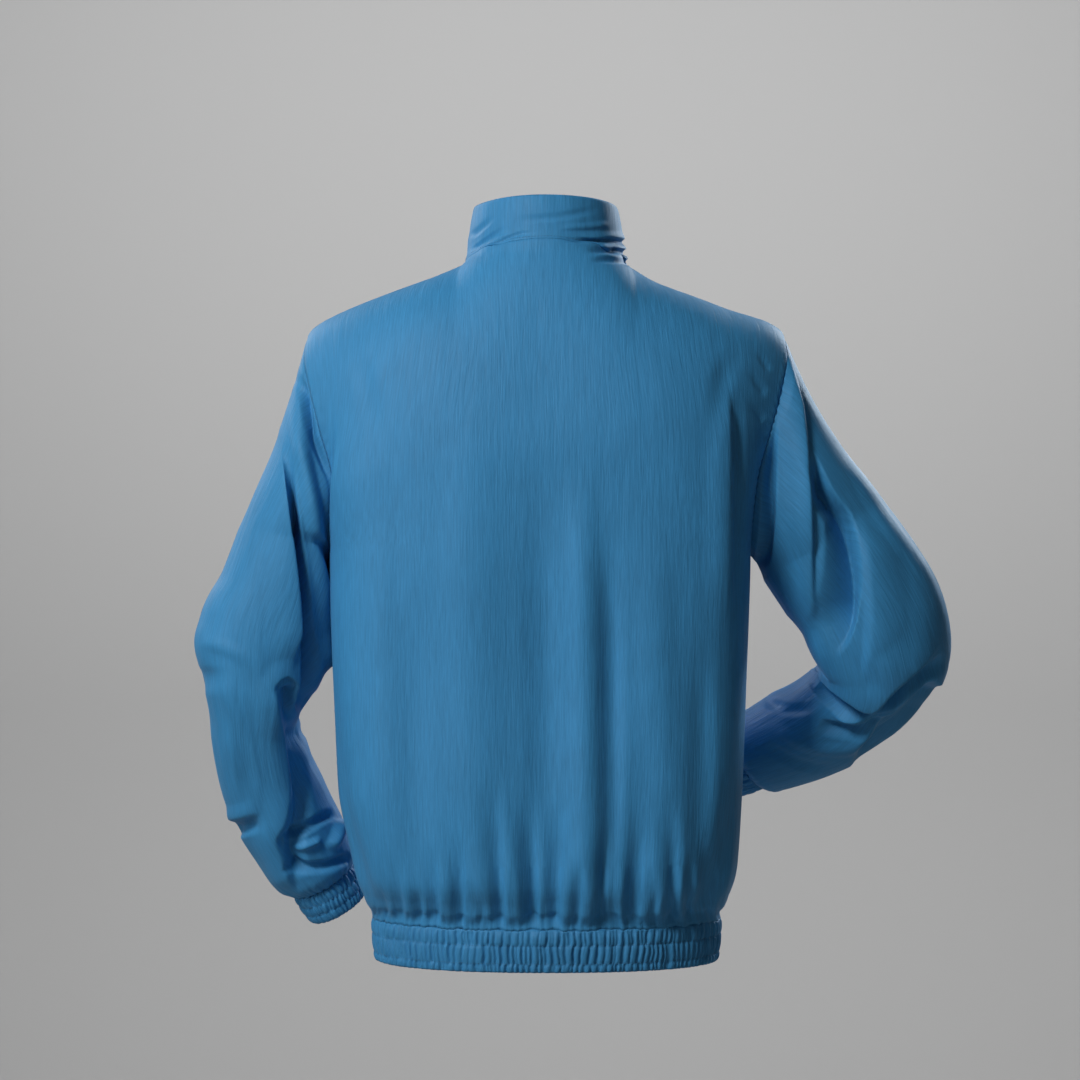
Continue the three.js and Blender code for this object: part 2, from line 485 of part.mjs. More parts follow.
const plateShape = roundedShape(SLIDER.half, -SLIDER.long / 2, SLIDER.long / 2, 2.4);
const face0 = SLIDER.front_gap + SLIDER.plate;
const wedgeTop = SLIDER.long / 2 - 0.4;
const arch = boxOf(-SLIDER.bridge_half, SLIDER.bridge_half, -SLIDER.bridge_long / 2, SLIDER.bridge_long / 2, face0 - 0.3, face0 + SLIDER.bridge_gap + SLIDER.bridge_thick);
const archHole = boxOf(-SLIDER.bridge_half - 1, SLIDER.bridge_half + 1, -SLIDER.bridge_long / 2 + 1, SLIDER.bridge_long / 2 - 1, face0, face0 + SLIDER.bridge_gap);
const slider = toManifold(slab(plateShape, SLIDER.front_gap, face0))
  .add(toManifold(slab(plateShape, -SLIDER.rear_depth - SLIDER.plate, -SLIDER.rear_depth)))
  .add(toManifold(boxOf(-SLIDER.wedge_half, SLIDER.wedge_half, wedgeTop - SLIDER.wedge_long, wedgeTop, -SLIDER.rear_depth - 0.3, SLIDER.front_gap + 0.3)))
  .add(toManifold(arch).subtract(toManifold(archHole)));

// pull: a tab with a window that the bridge passes through, turning on its top bar
const PULL = { bar_half: 0.65, leg_in: 1.45, half: 3.2, window: 6.2, long: 26, thick: 1.3, pivot_out: 1.15 };
const pivotOut = face0 + PULL.pivot_out;
const tab = roundedShape(PULL.half, -PULL.long, PULL.bar_half, 1.2);
const window = new THREE.Path();
window.moveTo(-PULL.leg_in, -PULL.bar_half);
window.lineTo(-PULL.leg_in, -PULL.bar_half - PULL.window);
window.lineTo(PULL.leg_in, -PULL.bar_half - PULL.window);
window.lineTo(PULL.leg_in, -PULL.bar_half);
window.closePath();
tab.holes.push(window);

const placed = (name, geometry) => {
  const g = geometry.clone();
  g.deleteAttribute('normal');
  g.deleteAttribute('uv');
  const merged = mergeVertices(g, 1e-4);
  const points = [];
  for (let k = 0; k < merged.attributes.position.count; k += 1) points.push(vec().fromBufferAttribute(merged.attributes.position, k));
  const mesh = meshOf(name, points, Array.from(merged.index.array));
  mesh.geometry.applyMatrix4(sliderFrame);
  mesh.geometry.computeVertexNormals();
  return mesh;
};
const sliderMesh = slider.getMesh();
const sliderGeometry = new THREE.BufferGeometry();
sliderGeometry.setAttribute('position', new THREE.Float32BufferAttribute(Array.from(sliderMesh.vertProperties), 3));
sliderGeometry.setIndex(Array.from(sliderMesh.triVerts));
jacket.add(placed('zip_slider', sliderGeometry));
jacket.add(placed('zip_pull', slab(tab, pivotOut - PULL.thick / 2, pivotOut + PULL.thick / 2)));
jacket.userData.pivot = top.clone().addScaledVector(outDir, pivotOut).toArray();

export default jacket;
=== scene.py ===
import json
import math

import bpy
import bmesh
import numpy as np
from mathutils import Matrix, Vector

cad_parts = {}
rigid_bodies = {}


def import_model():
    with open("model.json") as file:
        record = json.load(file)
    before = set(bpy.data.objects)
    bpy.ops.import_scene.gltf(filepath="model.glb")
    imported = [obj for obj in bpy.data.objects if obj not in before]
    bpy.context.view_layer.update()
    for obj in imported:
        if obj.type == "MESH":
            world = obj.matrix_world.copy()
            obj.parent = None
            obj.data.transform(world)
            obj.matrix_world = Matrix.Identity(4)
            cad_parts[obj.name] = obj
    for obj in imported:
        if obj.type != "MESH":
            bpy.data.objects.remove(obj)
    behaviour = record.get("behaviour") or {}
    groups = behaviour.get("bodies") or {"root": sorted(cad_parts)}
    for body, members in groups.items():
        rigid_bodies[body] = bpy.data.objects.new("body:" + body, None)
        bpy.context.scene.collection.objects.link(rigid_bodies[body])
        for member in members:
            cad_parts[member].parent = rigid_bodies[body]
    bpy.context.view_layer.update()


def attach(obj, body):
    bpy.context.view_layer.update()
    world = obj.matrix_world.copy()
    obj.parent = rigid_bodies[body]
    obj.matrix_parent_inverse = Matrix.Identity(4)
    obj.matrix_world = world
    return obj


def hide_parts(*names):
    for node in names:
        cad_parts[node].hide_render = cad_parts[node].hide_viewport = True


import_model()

# ---------------------------------------------------------------- camera
# level, behind the jacket, 3 m from its middle plane; the neck's middle plane falls on pixel 546
CAMERA_DISTANCE = 3.0
CAMERA_HEIGHT = -0.292
cam_data = bpy.data.cameras.new("photo_camera")
cam_data.lens = 100.0
cam_data.sensor_width = 36.0
cam_data.clip_end = 60.0
cam = bpy.data.objects.new("photo_camera", cam_data)
bpy.context.scene.collection.objects.link(cam)
cam.location = (0.006, CAMERA_DISTANCE, CAMERA_HEIGHT)
cam.rotation_euler = (math.radians(90), 0, math.radians(180))
bpy.context.scene.camera = cam

# ---------------------------------------------------------------- cloth surfaces, in millimetres
# GEOMETRY BEGIN
# small maths


def mix(a, b, w):
    return a + (b - a) * w


def ease(w):
    c = np.clip(w, 0.0, 1.0)
    return c * c * (3 - 2 * c)


def bell(d):
    return np.where(np.abs(d) >= 1, 0.0, (1 - np.clip(d, -1, 1) ** 2) ** 2)


def unit(v):
    return v / np.maximum(np.linalg.norm(v, axis=-1, keepdims=True), 1e-9)


def col(table, key, at):
    xs = np.array([r["at"] for r in table], float)
    ys = np.array([r[key] for r in table], float)
    at = np.clip(np.asarray(at, float), xs[0], xs[-1])
    slope = np.diff(ys) / np.diff(xs)
    tang = np.zeros(len(xs))
    tang[0], tang[-1] = slope[0], slope[-1]
    for i in range(1, len(xs) - 1):
        a, b = slope[i - 1], slope[i]
        tang[i] = 0.0 if a * b <= 0 else 2 * a * b / (a + b)
    k = np.clip(np.searchsorted(xs, at, side="left") - 1, 0, len(xs) - 2)
    h = xs[k + 1] - xs[k]
    w = (at - xs[k]) / h
    w2, w3 = w * w, w * w * w
    return (2 * w3 - 3 * w2 + 1) * ys[k] + (w3 - 2 * w2 + w) * h * tang[k] + (3 * w2 - 2 * w3) * ys[k + 1] + (w3 - w2) * h * tang[k + 1]


BODY = [
    dict(at=0.00, mid_back=-669, mid_front=-669, back=116, front=119, left=174, right=175, corner_left=2.2, corner_right=2.3, corner_front=2.2),
    dict(at=0.03, mid_back=-654, mid_front=-654, back=127, front=122, left=183, right=183, corner_left=2.4, corner_right=2.6, corner_front=2.3),
    dict(at=0.08, mid_back=-625, mid_front=-625, back=134, front=126, left=190, right=189, corner_left=2.7, corner_right=3.0, corner_front=2.4),
    dict(at=0.20, mid_back=-545, mid_front=-545, back=135, front=133, left=197, right=194, corner_left=3.0, corner_right=3.6, corner_front=2.5),
    dict(at=0.35, mid_back=-430, mid_front=-430, back=133, front=138, left=203, right=198, corner_left=3.1, corner_right=4.0, corner_front=2.5),
    dict(at=0.50, mid_back=-305, mid_front=-305, back=136, front=142, left=205, right=202, corner_left=3.1, corner_right=4.0, corner_front=2.4),
    dict(at=0.64, mid_back=-215, mid_front=-228, back=136, front=139, left=205, right=202, corner_left=2.8, corner_right=3.4, corner_front=2.3),
    dict(at=0.74, mid_back=-150, mid_front=-165, back=128, front=129, left=205, right=202, corner_left=2.4, corner_right=2.6, corner_front=2.2),
    dict(at=0.86, mid_back=-76, mid_front=-98, back=108, front=107, left=205, right=202, corner_left=2.2, corner_right=2.2, corner_front=2.1),
    dict(at=1.00, mid_back=0, mid_front=-42, back=73, front=82, left=205, right=202, corner_left=2.0, corner_right=2.0, corner_front=2.0),
]
ARMHOLE = [
    dict(at=0.50, out=205, out_front=205, reach_back=0, reach_front=0, z=-305),
    dict(at=0.535, out=205, out_front=203, reach_back=32, reach_front=34, z=-296),
    dict(at=0.58, out=206, out_front=199, reach_back=52, reach_front=54, z=-272),
    dict(at=0.65, out=210, out_front=200, reach_back=63, reach_front=64, z=-232),
    dict(at=0.74, out=222, out_front=211, reach_back=63, reach_front=61, z=-186),
    dict(at=0.83, out=233, out_front=225, reach_back=52, reach_front=50, z=-145),
    dict(at=0.92, out=240, out_front=236, reach_back=30, reach_front=30, z=-109),
    dict(at=1.00, out=239, out_front=239, reach_back=0, reach_front=0, z=-89),
]
UNDERARM = 0.5
SHOULDER = [dict(at=0.00, z=-17), dict(at=0.17, z=-29), dict(at=0.48, z=-47), dict(at=0.79, z=-66), dict(at=0.95, z=-79), dict(at=1.00, z=-89)]
NECK_SHARE, NECK_HALF, NECK_SIDE_Y, NECK_SIDE_Z, NECK_FRONT_Z = 0.34, 79.0, -4.0, -17.0, -42.0
YOKE_FROM = 0.66
ZIP_HALF = 4.0
# the broad drapes that the solids have too
DRAPES = [
    dict(face=1, side=-1, u=0.30, first=0.0, last=0.40, strongest=0.08, half=0.085, depth=-8),
    dict(face=1, side=-1, u=0.16, first=0.0, last=0.30, strongest=0.07, half=0.080, depth=4),
    dict(face=1, side=-1, u=0.58, first=0.0, last=0.26, strongest=0.07, half=0.090, depth=-6),
    dict(face=1, side=1, u=0.26, first=0.0, last=0.26, strongest=0.07, half=0.085, depth=-6),
    dict(face=1, side=1, u=0.70, first=0.0, last=0.40, strongest=0.10, half=0.110, depth=-5),
    dict(face=-1, side=1, u=0.42, first=0.0, last=0.32, strongest=0.08, half=0.100, depth=-6),
    dict(face=-1, side=1, u=0.72, first=0.0, last=0.28, strongest=0.08, half=0.090, depth=-5),
    dict(face=-1, side=-1, u=0.36, first=0.0, last=0.28, strongest=0.08, half=0.090, depth=-6),
    dict(face=-1, side=-1, u=0.66, first=0.0, last=0.36, strongest=0.09, half=0.110, depth=-6),
]
SLEEVE = {
    1: [
        dict(at=0.00, x=258, y=0, z=-293, wide=52, deep=66, pinch=0),
        dict(at=0.13, x=269, y=3, z=-340, wide=57, deep=65, pinch=0),
        dict(at=0.27, x=282, y=4, z=-388, wide=66, deep=64, pinch=0),
        dict(at=0.38, x=284, y=0, z=-428, wide=61, deep=62, pinch=2),
        dict(at=0.51, x=288, y=-14, z=-474, wide=49, deep=57, pinch=9),
        dict(at=0.63, x=284, y=-30, z=-516, wide=49, deep=54, pinch=2),
        dict(at=0.75, x=272, y=-46, z=-556, wide=51, deep=52, pinch=0),
        dict(at=0.88, x=252, y=-60, z=-596, wide=49, deep=49, pinch=0),
        dict(at=0.96, x=237, y=-67, z=-623, wide=45, deep=45, pinch=0),
        dict(at=1.00, x=228, y=-72, z=-639, wide=35, deep=36, pinch=0),
    ],
    -1: [
        dict(at=0.00, x=-277, y=0, z=-292, wide=72, deep=66, pinch=0),
        dict(at=0.12, x=-306, y=2, z=-334, wide=73, deep=66, pinch=0),
        dict(at=0.24, x=-329, y=0, z=-372, wide=72, deep=66, pinch=0),
        dict(at=0.36, x=-338, y=-14, z=-406, wide=68, deep=65, pinch=3),
        dict(at=0.48, x=-327, y=-40, z=-437, wide=62, deep=62, pinch=5),
        dict(at=0.60, x=-305, y=-64, z=-462, wide=56, deep=58, pinch=2),
        dict(at=0.74, x=-275, y=-88, z=-484, wide=52, deep=54, pinch=0),
        dict(at=0.88, x=-243, y=-109, z=-502, wide=47, deep=49, pinch=0),
        dict(at=0.96, x=-225, y=-120, z=-511, wide=44, deep=45, pinch=0),
        dict(at=1.00, x=-215, y=-126, z=-516, wide=35, deep=36, pinch=0),
    ],
}
TURN = [dict(at=0.50, turn=0.500), dict(at=0.57, turn=0.390), dict(at=0.65, turn=0.290), dict(at=0.74, turn=0.215), dict(at=0.83, turn=0.140), dict(at=0.92, turn=0.065), dict(at=1.00, turn=0.0)]
CUFF_LONG, CUFF_HALF, CAP_FULL = 33.0, 33.0, 9.0
COLLAR = dict(back_top=46, side_top=40, front_top=12, half_top=72, back_reach=69, front_reach=76)
BAND_TOP, BAND_BOTTOM, BAND_DRAW_IN = -669.0, -709.0, 3.0


def zip_shift(u):
    return ZIP_HALF * np.maximum(0, 1 - u / NECK_SHARE) ** 2


def armhole_point(face, side, t):
    x = col(ARMHOLE, "out" if face > 0 else "out_front", t)
    less = 0.0 if side > 0 else 3 * (1 - (t - UNDERARM) / (1 - UNDERARM))
    return np.stack([side * (x - less), face * col(ARMHOLE, "reach_back" if face > 0 else "reach_front", t), col(ARMHOLE, "z", t)], -1)


def top_point(face, side, u):
    a = np.radians(90 * np.clip(u / NECK_SHARE, 0, 1))
    reach = 73 - NECK_SIDE_Y if face > 0 else 82 + NECK_SIDE_Y
    mid = 0.0 if face > 0 else NECK_FRONT_Z
    extra = zip_shift(u) if face < 0 else 0.0
    nx = side * (NECK_HALF * np.sin(a) + extra)
    ny = NECK_SIDE_Y + face * reach * np.cos(a)
    nz = mix(NECK_SIDE_Z, mid, np.clip(np.cos(a), 0, 1) ** 1.4)
    v = np.clip((u - NECK_SHARE) / (1 - NECK_SHARE), 0, 1)
    sx = side * mix(NECK_HALF, 239.0, v)
    sy = mix(NECK_SIDE_Y, 0.0, v)
    sz = col(SHOULDER, "z", v)
    low = u <= NECK_SHARE
    return np.stack([np.where(low, nx, sx), np.where(low, ny, sy), np.where(low, nz, sz)], -1)


def body_point(face, side, u, t):
    u, t = np.broadcast_arrays(np.asarray(u, float), np.asarray(t, float))
    width = col(BODY, "left" if side > 0 else "right", t)
    power = col(BODY, "corner_front" if face < 0 else ("corner_left" if side > 0 else "corner_right"), t)
    low = t <= UNDERARM
    hole = armhole_point(face, side, np.maximum(t, UNDERARM))
    ex = np.where(low, side * width, hole[..., 0])
    ey = np.where(low, 0.0, hole[..., 1])
    ez = np.where(low, col(BODY, "mid_back", t), hole[..., 2])
    mid_y = face * col(BODY, "back" if face > 0 else "front", t)
    mid_z = col(BODY, "mid_back" if face > 0 else "mid_front", t)
    reach = np.clip(ey / mid_y, 0, 1)
    sweep = np.arctan2((1 - reach ** power) ** (1 / power), reach)

    def on(a):
        s = np.sin(a)
        c = np.maximum(0, np.cos(a))
        length = (s ** power + c ** power) ** (1 / power)
        return s / length, c / length

    sin_a, cos_a = on(u * sweep)
    sin_m, _ = on(sweep)
    x = ex * sin_a / sin_m
    y = mid_y * cos_a
    z = mix(mid_z, ez, u * u)
    turn = np.clip((t - YOKE_FROM) / (1 - YOKE_FROM), 0, 1)
    top = top_point(face, side, u)
    hold = (1 - u ** (6 + 40 * turn ** 3)) * mix(ease(u / 0.5), 1.0, turn ** 3)
    end = t > 1 - 1e-9
    x = np.where(end, top[..., 0], mix(x, top[..., 0], ease(turn) * hold))
    y = np.where(end, top[..., 1], mix(y, top[..., 1], (1 - np.cos(np.pi / 2 * turn)) * hold))
    z = np.where(end, top[..., 2], mix(z, top[..., 2], np.sin(np.pi / 2 * turn) * hold))
    if face < 0:
        x = x + np.where(end, 0.0, side * zip_shift(u) * (1 - turn ** 2))
    push = np.zeros_like(x)
    for d in DRAPES:
        if d["face"] != face:
            continue
        across = u - d["u"] if d["side"] == side else u + d["u"]
        along = np.where(t < d["strongest"], ease((t - d["first"]) / (d["strongest"] - d["first"])), ease((d["last"] - t) / (d["last"] - d["strongest"])))
        push += d["depth"] * bell(across / d["half"]) * along
    out = unit(np.stack([x * 0.45, y, np.zeros_like(x)], -1))
    p = np.stack([x, y, z], -1)
    return p + out * push[..., None]


def arm_frames(table, side):
    steps = 240
    a = np.linspace(0, 1, steps + 1)

    def mid(v):
        return np.stack([col(table, "x", v), col(table, "y", v), col(table, "z", v)], -1)

    along = unit(mid(np.minimum(1, a + 0.03)) - mid(np.maximum(0, a - 0.03)))
    out = np.array([side, 0, 0.25], float)
    outs, rears = [], []
    for k in range(steps + 1):
        d = along[k]
        out = out - d * out.dot(d)
        out = out / np.linalg.norm(out)
        outs.append(out.copy())
        rears.append(np.cross(out, d) * side)
    return a, mid(a), along, np.array(outs), np.array(rears)


FRAMES = {s: arm_frames(SLEEVE[s], s) for s in (1, -1)}


def arm_frame(side, a):
    grid, mid, along, out, rear = FRAMES[side]
    a = np.clip(a, 0, 1)

    def pick(v):
        return np.stack([np.interp(a, grid, v[:, k]) for k in range(3)], -1)

    return pick(mid), unit(pick(along)), unit(pick(out)), unit(pick(rear))


def ring_point(side, turn, a):
    turn, a = np.broadcast_arrays(np.asarray(turn, float), np.asarray(a, float))
    mid, _, out, rear = arm_frame(side, a)
    ang = 2 * np.pi * turn
    inner = bell((turn - 0.5) / 0.22) * col(SLEEVE[side], "pinch", a)
    wide = col(SLEEVE[side], "wide", a)
    deep = col(SLEEVE[side], "deep", a)
    return mid + out * (wide * np.cos(ang) + inner)[..., None] + rear * (deep * np.sin(ang))[..., None]


def turn_rows(turn):
    """armhole row and face for a turn round the sleeve"""
    half = np.where(turn <= 0.5, turn, 1 - turn)
    rows = np.linspace(0.5, 1, 400)
    vals = col(TURN, "turn", rows)
    t = np.interp(half, vals[::-1], rows[::-1])
    return np.where(turn <= 0.5, 1, -1), t


def cap_point(side, turn, cap):
    turn, cap = np.broadcast_arrays(np.asarray(turn, float), np.asarray(cap, float))
    face, t = turn_rows(turn)
    start = np.where((face > 0)[..., None], armhole_point(1, side, t), armhole_point(-1, side, t))
    stop = ring_point(side, turn, np.zeros_like(turn))
    p = mix(start, stop, cap[..., None])
    high = np.cos(2 * np.pi * turn)
    swell = np.sin(np.pi * cap)
    bow = (-8 if side > 0 else -11) * np.maximum(0, high) * swell + 1.8 * np.maximum(0, -high) ** 4 * swell
    full = CAP_FULL * swell * np.abs(np.sin(2 * np.pi * turn)) ** 0.6
    p[..., 0] += side * (bow + 0.6 * full)
    p[..., 1] += face * 0.8 * full
    return p


CAP_SHARE = 0.30  # share of the sleeve's own length coordinate that the head takes


def sleeve_point(side, turn, v):
    """v 0 at the armhole, 1 at the cuff"""
    turn, v = np.broadcast_arrays(np.asarray(turn, float), np.asarray(v, float))
    cap = np.clip(v / CAP_SHARE, 0, 1)
    a = np.clip((v - CAP_SHARE) / (1 - CAP_SHARE), 0, 1)
    return np.where((v < CAP_SHARE)[..., None], cap_point(side, turn, cap), ring_point(side, turn, a))


def cuff_point(side, turn, v):
    mid, along, out, rear = arm_frame(side, np.ones_like(turn))
    off = ring_point(side, turn, np.ones_like(turn)) - mid
    size = mix(1.0, CUFF_HALF / 35.0, v) + 0.04 * np.sin(np.pi * v)
    return mid + along * (CUFF_LONG * v)[..., None] + off * size[..., None]


def collar_point(angle, v):
    angle, v = np.broadcast_arrays(np.asarray(angle, float), np.asarray(v, float))
    deg = np.abs(angle)
    side = np.where(angle < 0, -1.0, 1.0)
    back = deg <= 90
    u = NECK_SHARE * np.where(back, deg / 90, (180 - deg) / 90)
    base = np.where(back[..., None], top_point(1, 1, u), top_point(-1, 1, u))
    base[..., 0] *= side
    a = np.radians(deg)
    reach = np.where(back, COLLAR["back_reach"], COLLAR["front_reach"])
    extra = np.where(back, 0.0, zip_shift(u))
    crown = np.where(back, COLLAR["back_top"], COLLAR["front_top"])
    top = np.stack([side * (COLLAR["half_top"] * np.sin(a) + extra), reach * np.cos(a) - 1, mix(COLLAR["side_top"], crown, np.abs(np.cos(a)) ** 1.5)], -1)
    p = mix(base, top, v[..., None])
    flat = p.copy()
    flat[..., 2] = 0
    return p + unit(flat) * (1.6 * np.sin(np.pi * v))[..., None]


def band_point(face, side, u, v):
    p = body_point(face, side, u, np.zeros_like(u))
    flat = p.copy()
    flat[..., 2] = 0
    p[..., 2] = mix(BAND_TOP, BAND_BOTTOM, v)
    return p + unit(flat) * (-BAND_DRAW_IN * np.sin(np.pi * 0.5 * v) + 1.5 * np.sin(np.pi * v))[..., None]


def normals(p, loop=False, flip=1):
    """outward directions of a grid (rows, columns)"""
    if loop:
        du = np.roll(p, -1, 1) - np.roll(p, 1, 1)
    else:
        du = np.gradient(p, axis=1)
    dv = np.gradient(p, axis=0)
    return unit(np.cross(du, dv)) * flip


def blur(g, passes, loop=False):
    for _ in range(passes):
        a = np.concatenate([g[:1], g, g[-1:]], 0)
        g = (a[:-2] + 2 * a[1:-1] + a[2:]) / 4
        if loop:
            g = (np.roll(g, 1, 1) + 2 * g + np.roll(g, -1, 1)) / 4
        else:
            a = np.concatenate([g[:, :1], g, g[:, -1:]], 1)
            g = (a[:, :-2] + 2 * a[:, 1:-1] + a[:, 2:]) / 4
    return g


# ---------------------------------------------------------------- creases
def smooth_path(path, n=28):
    """Catmull-Rom line through a few given points"""
    p = np.array(path, float)
    p = np.concatenate([[2 * p[0] - p[1]], p, [2 * p[-1] - p[-2]]])
    out = []
    per = max(2, n // (len(p) - 3))
    for k in range(1, len(p) - 2):
        for w in np.linspace(0, 1, per, endpoint=False):
            out.append(0.5 * (2 * p[k] + (p[k + 1] - p[k - 1]) * w + (2 * p[k - 1] - 5 * p[k] + 4 * p[k + 1] - p[k + 2]) * w * w + (3 * p[k] - p[k - 1] - 3 * p[k + 1] + p[k + 2]) * w ** 3))
    out.append(p[-2])
    return np.array(out)


def along_path(a, b, path):
    """signed distance to a line (+ on its right when walking down it) and place along it 0..1"""
    q = smooth_path(path)
    seg = np.diff(q, axis=0)
    length = np.linalg.norm(seg, axis=1)
    start = np.concatenate([[0], np.cumsum(length)])
    best = np.full(a.shape, 1e9)
    dist = np.zeros(a.shape)
    place = np.zeros(a.shape)
    for k in range(len(seg)):
        rx, rz = a - q[k, 0], b - q[k, 1]
        w = np.clip((rx * seg[k, 0] + rz * seg[k, 1]) / max(length[k] ** 2, 1e-9), 0, 1)
        dx, dz = rx - w * seg[k, 0], rz - w * seg[k, 1]
        d2 = dx * dx + dz * dz
        near = d2 < best
        best = np.where(near, d2, best)
        sign = np.where(seg[k, 0] * rz - seg[k, 1] * rx > 0, 1.0, -1.0)
        dist = np.where(near, sign * np.sqrt(d2), dist)
        place = np.where(near, (start[k] + w * length[k]) / start[-1], place)
    return dist, place


def seen(p, plane=0.0):
    """points carried along their line of sight onto the upright plane y = plane"""
    k = (1000 * CAMERA_DISTANCE - plane) / (1000 * CAMERA_DISTANCE - p[..., 1])
    return (p[..., 0] - 6) * k + 6, (p[..., 2] - 1000 * CAMERA_HEIGHT) * k + 1000 * CAMERA_HEIGHT


def crease_field(x, z, rows):
    """sum of soft ridges (+) and troughs (-); each row: path, half width on the right and left hand of someone who walks
    the path in the picture, depth, fade at each end; plane is how flat its sides are; pull slides the cloth sideways in x and z, so that a fold hangs over"""
    total = np.zeros(x.shape)
    slide = np.zeros(x.shape + (2,))
    for r in rows:
        pts = np.array(r["path"], float)
        reach = max(r["half"]) * max(1.0, r.get("spread", 1.0)) * 1.05 + 2
        lo, hi = pts.min(0) - reach, pts.max(0) + reach
        hit = (x > lo[0]) & (x < hi[0]) & (z > lo[1]) & (z < hi[1])
        if not hit.any():
            continue
        d, s = along_path(x[hit], z[hit], r["path"])
        half = np.where(d > 0, r["half"][0], r["half"][1]) * mix(r.get("spread", 1.0), 1.0, s)
        first, last = r.get("fade", (0.35, 0.1))
        env = (ease(s / first) if first > 0 else 1.0) * (ease((1 - s) / last) if last > 0 else 1.0)
        q = np.clip(np.abs(d) / half, 0, 1)
        profile = mix((1 - q ** 2) ** 2, 1 - q, r.get("plane", 0.0)) * env
        total[hit] += r["depth"] * profile
        if "pull" in r:
            slide[hit] += np.array(r["pull"])[None, :] * profile[:, None]
    return total, slide


